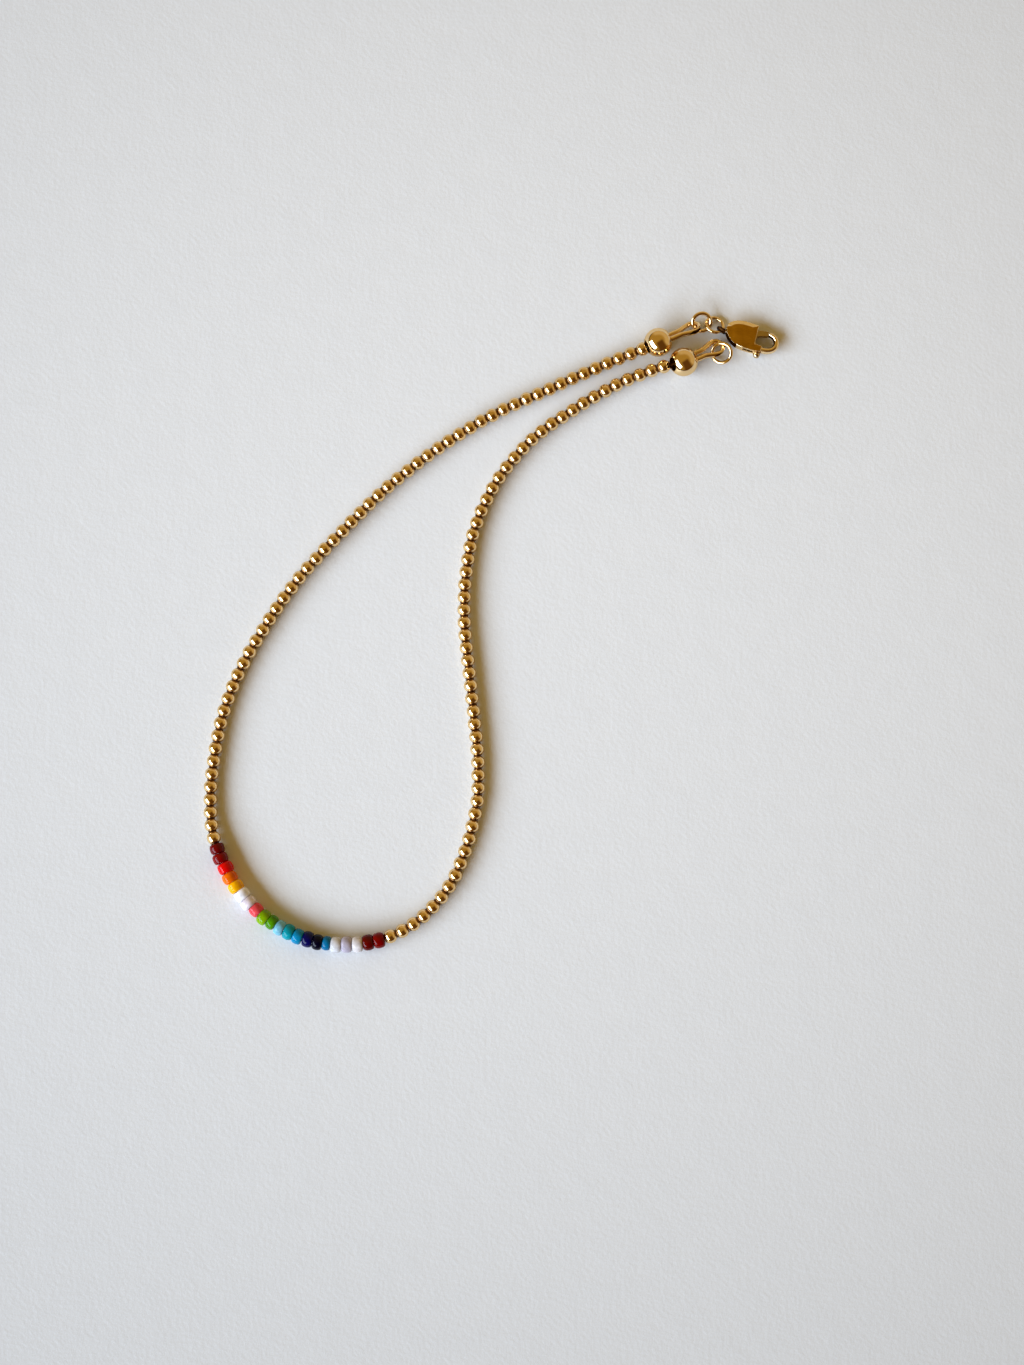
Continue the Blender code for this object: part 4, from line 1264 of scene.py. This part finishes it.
# %% Cast the body
def clasp_body():
    shares = [1.0 if v > UPPER_SIDE and u < CHAMFER_END else CRISP_EDGE for u, v in BODY_OUTLINE]
    chamfer = [tuple(reach * share for reach in PLATE_CHAMFER) for share in shares]
    body = slab("clasp_plate", BODY_OUTLINE, CLASP_HALF_THICKNESS, chamfer)
    hook_line = Line(curve_through([Vector(station) for station in HOOK_LINE]))
    stations = [hook_line.at(hook_line.length * step / HOOK_SAMPLES)
                for step in range(HOOK_SAMPLES + 1)]
    flatten = HOOK_HALF_THICKNESS / HOOK_LINE[0][2]

    def hook_section(index):
        section = round_section(stations[index].z, HOOK_SIDES)
        return [(across, high * flatten) for across, high in section]

    middle_line = [Vector((station.x, station.y, 0.0)) for station in stations]
    hook = loose_object("clasp_hook", drawn(middle_line, hook_section, first_side=(0.0, 1.0, 0.0)))
    combine(body, hook, 'UNION')
    eye_turn = Matrix.Rotation(EYE_TURN, 4, 'Z') @ Matrix.Rotation(math.pi / 2, 4, 'X')
    circle = [Vector((across, up, 0.0)) for across, up in round_section(EYE_RADIUS, EYE_STEPS)]
    circle = [Matrix.Translation(EYE_PLACE) @ eye_turn @ point for point in circle]
    eye = loose_object("clasp_eye", drawn(circle, lambda index: round_section(EYE_TUBE_RADIUS),
                                          closed=True))
    combine(body, eye, 'UNION')
    slot = slab("clasp_slot", SLOT_OUTLINE, SLOT_HALF_HEIGHT)
    combine(body, slot, 'DIFFERENCE')
    bore = pin_shape("clasp_bore", PIN_HOLE_RADIUS, PIN_HOLE_HALF_LENGTH)
    combine(body, bore, 'DIFFERENCE')
    melt(body, CASTING_GRID, CASTING_RELAXING)
    mesh = settled_mesh(body, [hook, eye, slot, bore])
    for point in mesh.vertices:
        u = (point.co.x - PLATE_MIDDLE[0]) / PLATE_REACH[0]
        v = (point.co.y - PLATE_MIDDLE[1]) / PLATE_REACH[1]
        upper = eased(point.co.z, *CROWN_FROM)
        point.co.z *= 1 - CROWN * min(u * u + v * v, 1.0) * upper
    return mesh


def pin_shape(name, radius, half_length):
    """A round pin on the pivot's axis."""
    centre = Vector((*PIVOT, 0.0))
    line = [centre - Vector((0, 0, half_length)), centre + Vector((0, 0, half_length))]
    return loose_object(name, drawn(line, lambda index: round_section(radius, PIN_HOLE_SIDES)))


# %% Choose the finish of each face
FACE_HEIGHT = CLASP_HALF_THICKNESS * 0.88
LEVEL_ENOUGH = 0.93
HOOK_HOLE = Vector((6.35, 0.05))         # the middle of the space in the hook
HOOK_FACING = (0.60, 0.25)               # how squarely a face looks at it where painted shade starts, and on
HOOK_REACH = (5.5, 0.4)                  # the u where that painted shade starts, and how soon it is full
FLANK_WAY = Vector((-0.6, -0.8))         # the way that the flank beside the eye looks
FLANK_FACING = (0.30, 0.25)
FLANK_END = (2.6, 0.8)                   # the u where the flank's painted shade ends, and how soon it is full
EYE_END = (0.25, 0.2)


def painted_shade_at(point, normal):
    """How much painted shade a point gets: inside the hook, on the eye and on the flank beside it."""
    flat = Vector((normal.x, normal.y))
    inwards = (HOOK_HOLE - Vector((point.x, point.y))).normalized().dot(flat)
    in_hook = eased(inwards, *HOOK_FACING) * eased(point.x, *HOOK_REACH)
    flank_end, flank_fade = FLANK_END
    eye_end, eye_fade = EYE_END
    on_flank = eased(flat.dot(FLANK_WAY), *FLANK_FACING) * eased(flank_end - point.x, 0.0, flank_fade)
    on_eye = eased(eye_end - point.x, 0.0, eye_fade)
    return max(in_hook, on_flank, on_eye)


casting = clasp_body()
finish_numbers = []
for face in casting.polygons:
    brushed = abs(face.center.z) > FACE_HEIGHT and abs(face.normal.z) > LEVEL_ENOUGH
    # Faces with more than half painted shade get the near-black painted-shade finish.
    shaded = painted_shade_at(face.center, face.normal) > 0.5
    finish_numbers.append(0 if brushed else 2 if shaded else 1)
casting.polygons.foreach_set("material_index", finish_numbers)
body = put_in_place("clasp_casting", casting, [BRUSHED_GOLD, BUFFED_GOLD, PAINTED_SHADE], "clasp_body",
                    matrix=CLASP_PLACE)
print("clasp body:", len(body.data.polygons), "faces, of which buffed:", finish_numbers.count(1))

# %% [markdown]
# ### The lever
#
# The lever is the only part that moves. It turns on the pin between the clasp's two cheeks: its gate
# closes the hook's mouth, and its round nub sticks out below for the thumb. It rides on a body of
# its own, so the same mesh also looks right when the clasp is opened. Its colour is painted darker
# all over: on the gate as painted shade, since the gate lies below the plate's top, and a little
# less at the nub.

# %% Cut the lever
LEVER_HALF_THICKNESS = 0.38
LEVER_EDGE_ROUND = 0.06
NUB_PLACE = (5.38, -2.06)
NUB_RADIUS = 0.50
LEVER_GRID = 0.035
LEVER_RELAXING = 2
GATE_SHADE = 0.5                          # how much each is painted darker; on the gate it is painted shade
NUB_SHADE = 0.4
SHADE_BLEND = 0.3                         # mm from the nub's rim to where the gate's share is reached
LEVER_OUTLINE = [
    (6.36, 0.84), (6.36, 1.62), (5.3, 1.55), (4.5, 1.40), (3.9, 1.48), (3.49, 1.31), (3.32, 0.90),
    (3.49, 0.49), (3.98, -0.10), (5.06, -2.10), (5.60, -1.86), (4.76, -0.20), (4.92, 0.48),
    (5.4, 0.66),
]


def clasp_lever():
    lever = slab("lever_blade", LEVER_OUTLINE, LEVER_HALF_THICKNESS)
    round_edges(lever, LEVER_EDGE_ROUND, segments=2, angle=60)
    form = bmesh.new()
    bmesh.ops.create_uvsphere(form, u_segments=24, v_segments=16, radius=NUB_RADIUS)
    bmesh.ops.translate(form, verts=form.verts, vec=(*NUB_PLACE, 0.0))
    nub_mesh = bpy.data.meshes.new("lever_nub")
    form.to_mesh(nub_mesh)
    form.free()
    nub = loose_object("lever_nub", nub_mesh)
    combine(lever, nub, 'UNION')
    bore = pin_shape("lever_bore", PIN_HOLE_RADIUS, CLASP_HALF_THICKNESS)
    combine(lever, bore, 'DIFFERENCE')
    melt(lever, LEVER_GRID, LEVER_RELAXING)
    mesh = settled_mesh(lever, [nub, bore])
    # Painted darkening on the lever: painted shade on the gate, and a little less at the nub.
    nub_end = NUB_PLACE[1] + NUB_RADIUS
    shade_share = [NUB_SHADE + (GATE_SHADE - NUB_SHADE) * eased(point.co.y, nub_end, SHADE_BLEND)
            for point in mesh.vertices]
    mesh.attributes.new(SHADE_ATTRIBUTE, 'FLOAT', 'POINT').data.foreach_set("value", shade_share)
    return mesh


lever = put_in_place("clasp_gate", clasp_lever(), [BUFFED_GOLD], "clasp_lever", body="lever",
                     matrix=CLASP_PLACE)
print("lever:", len(lever.data.polygons), "faces")
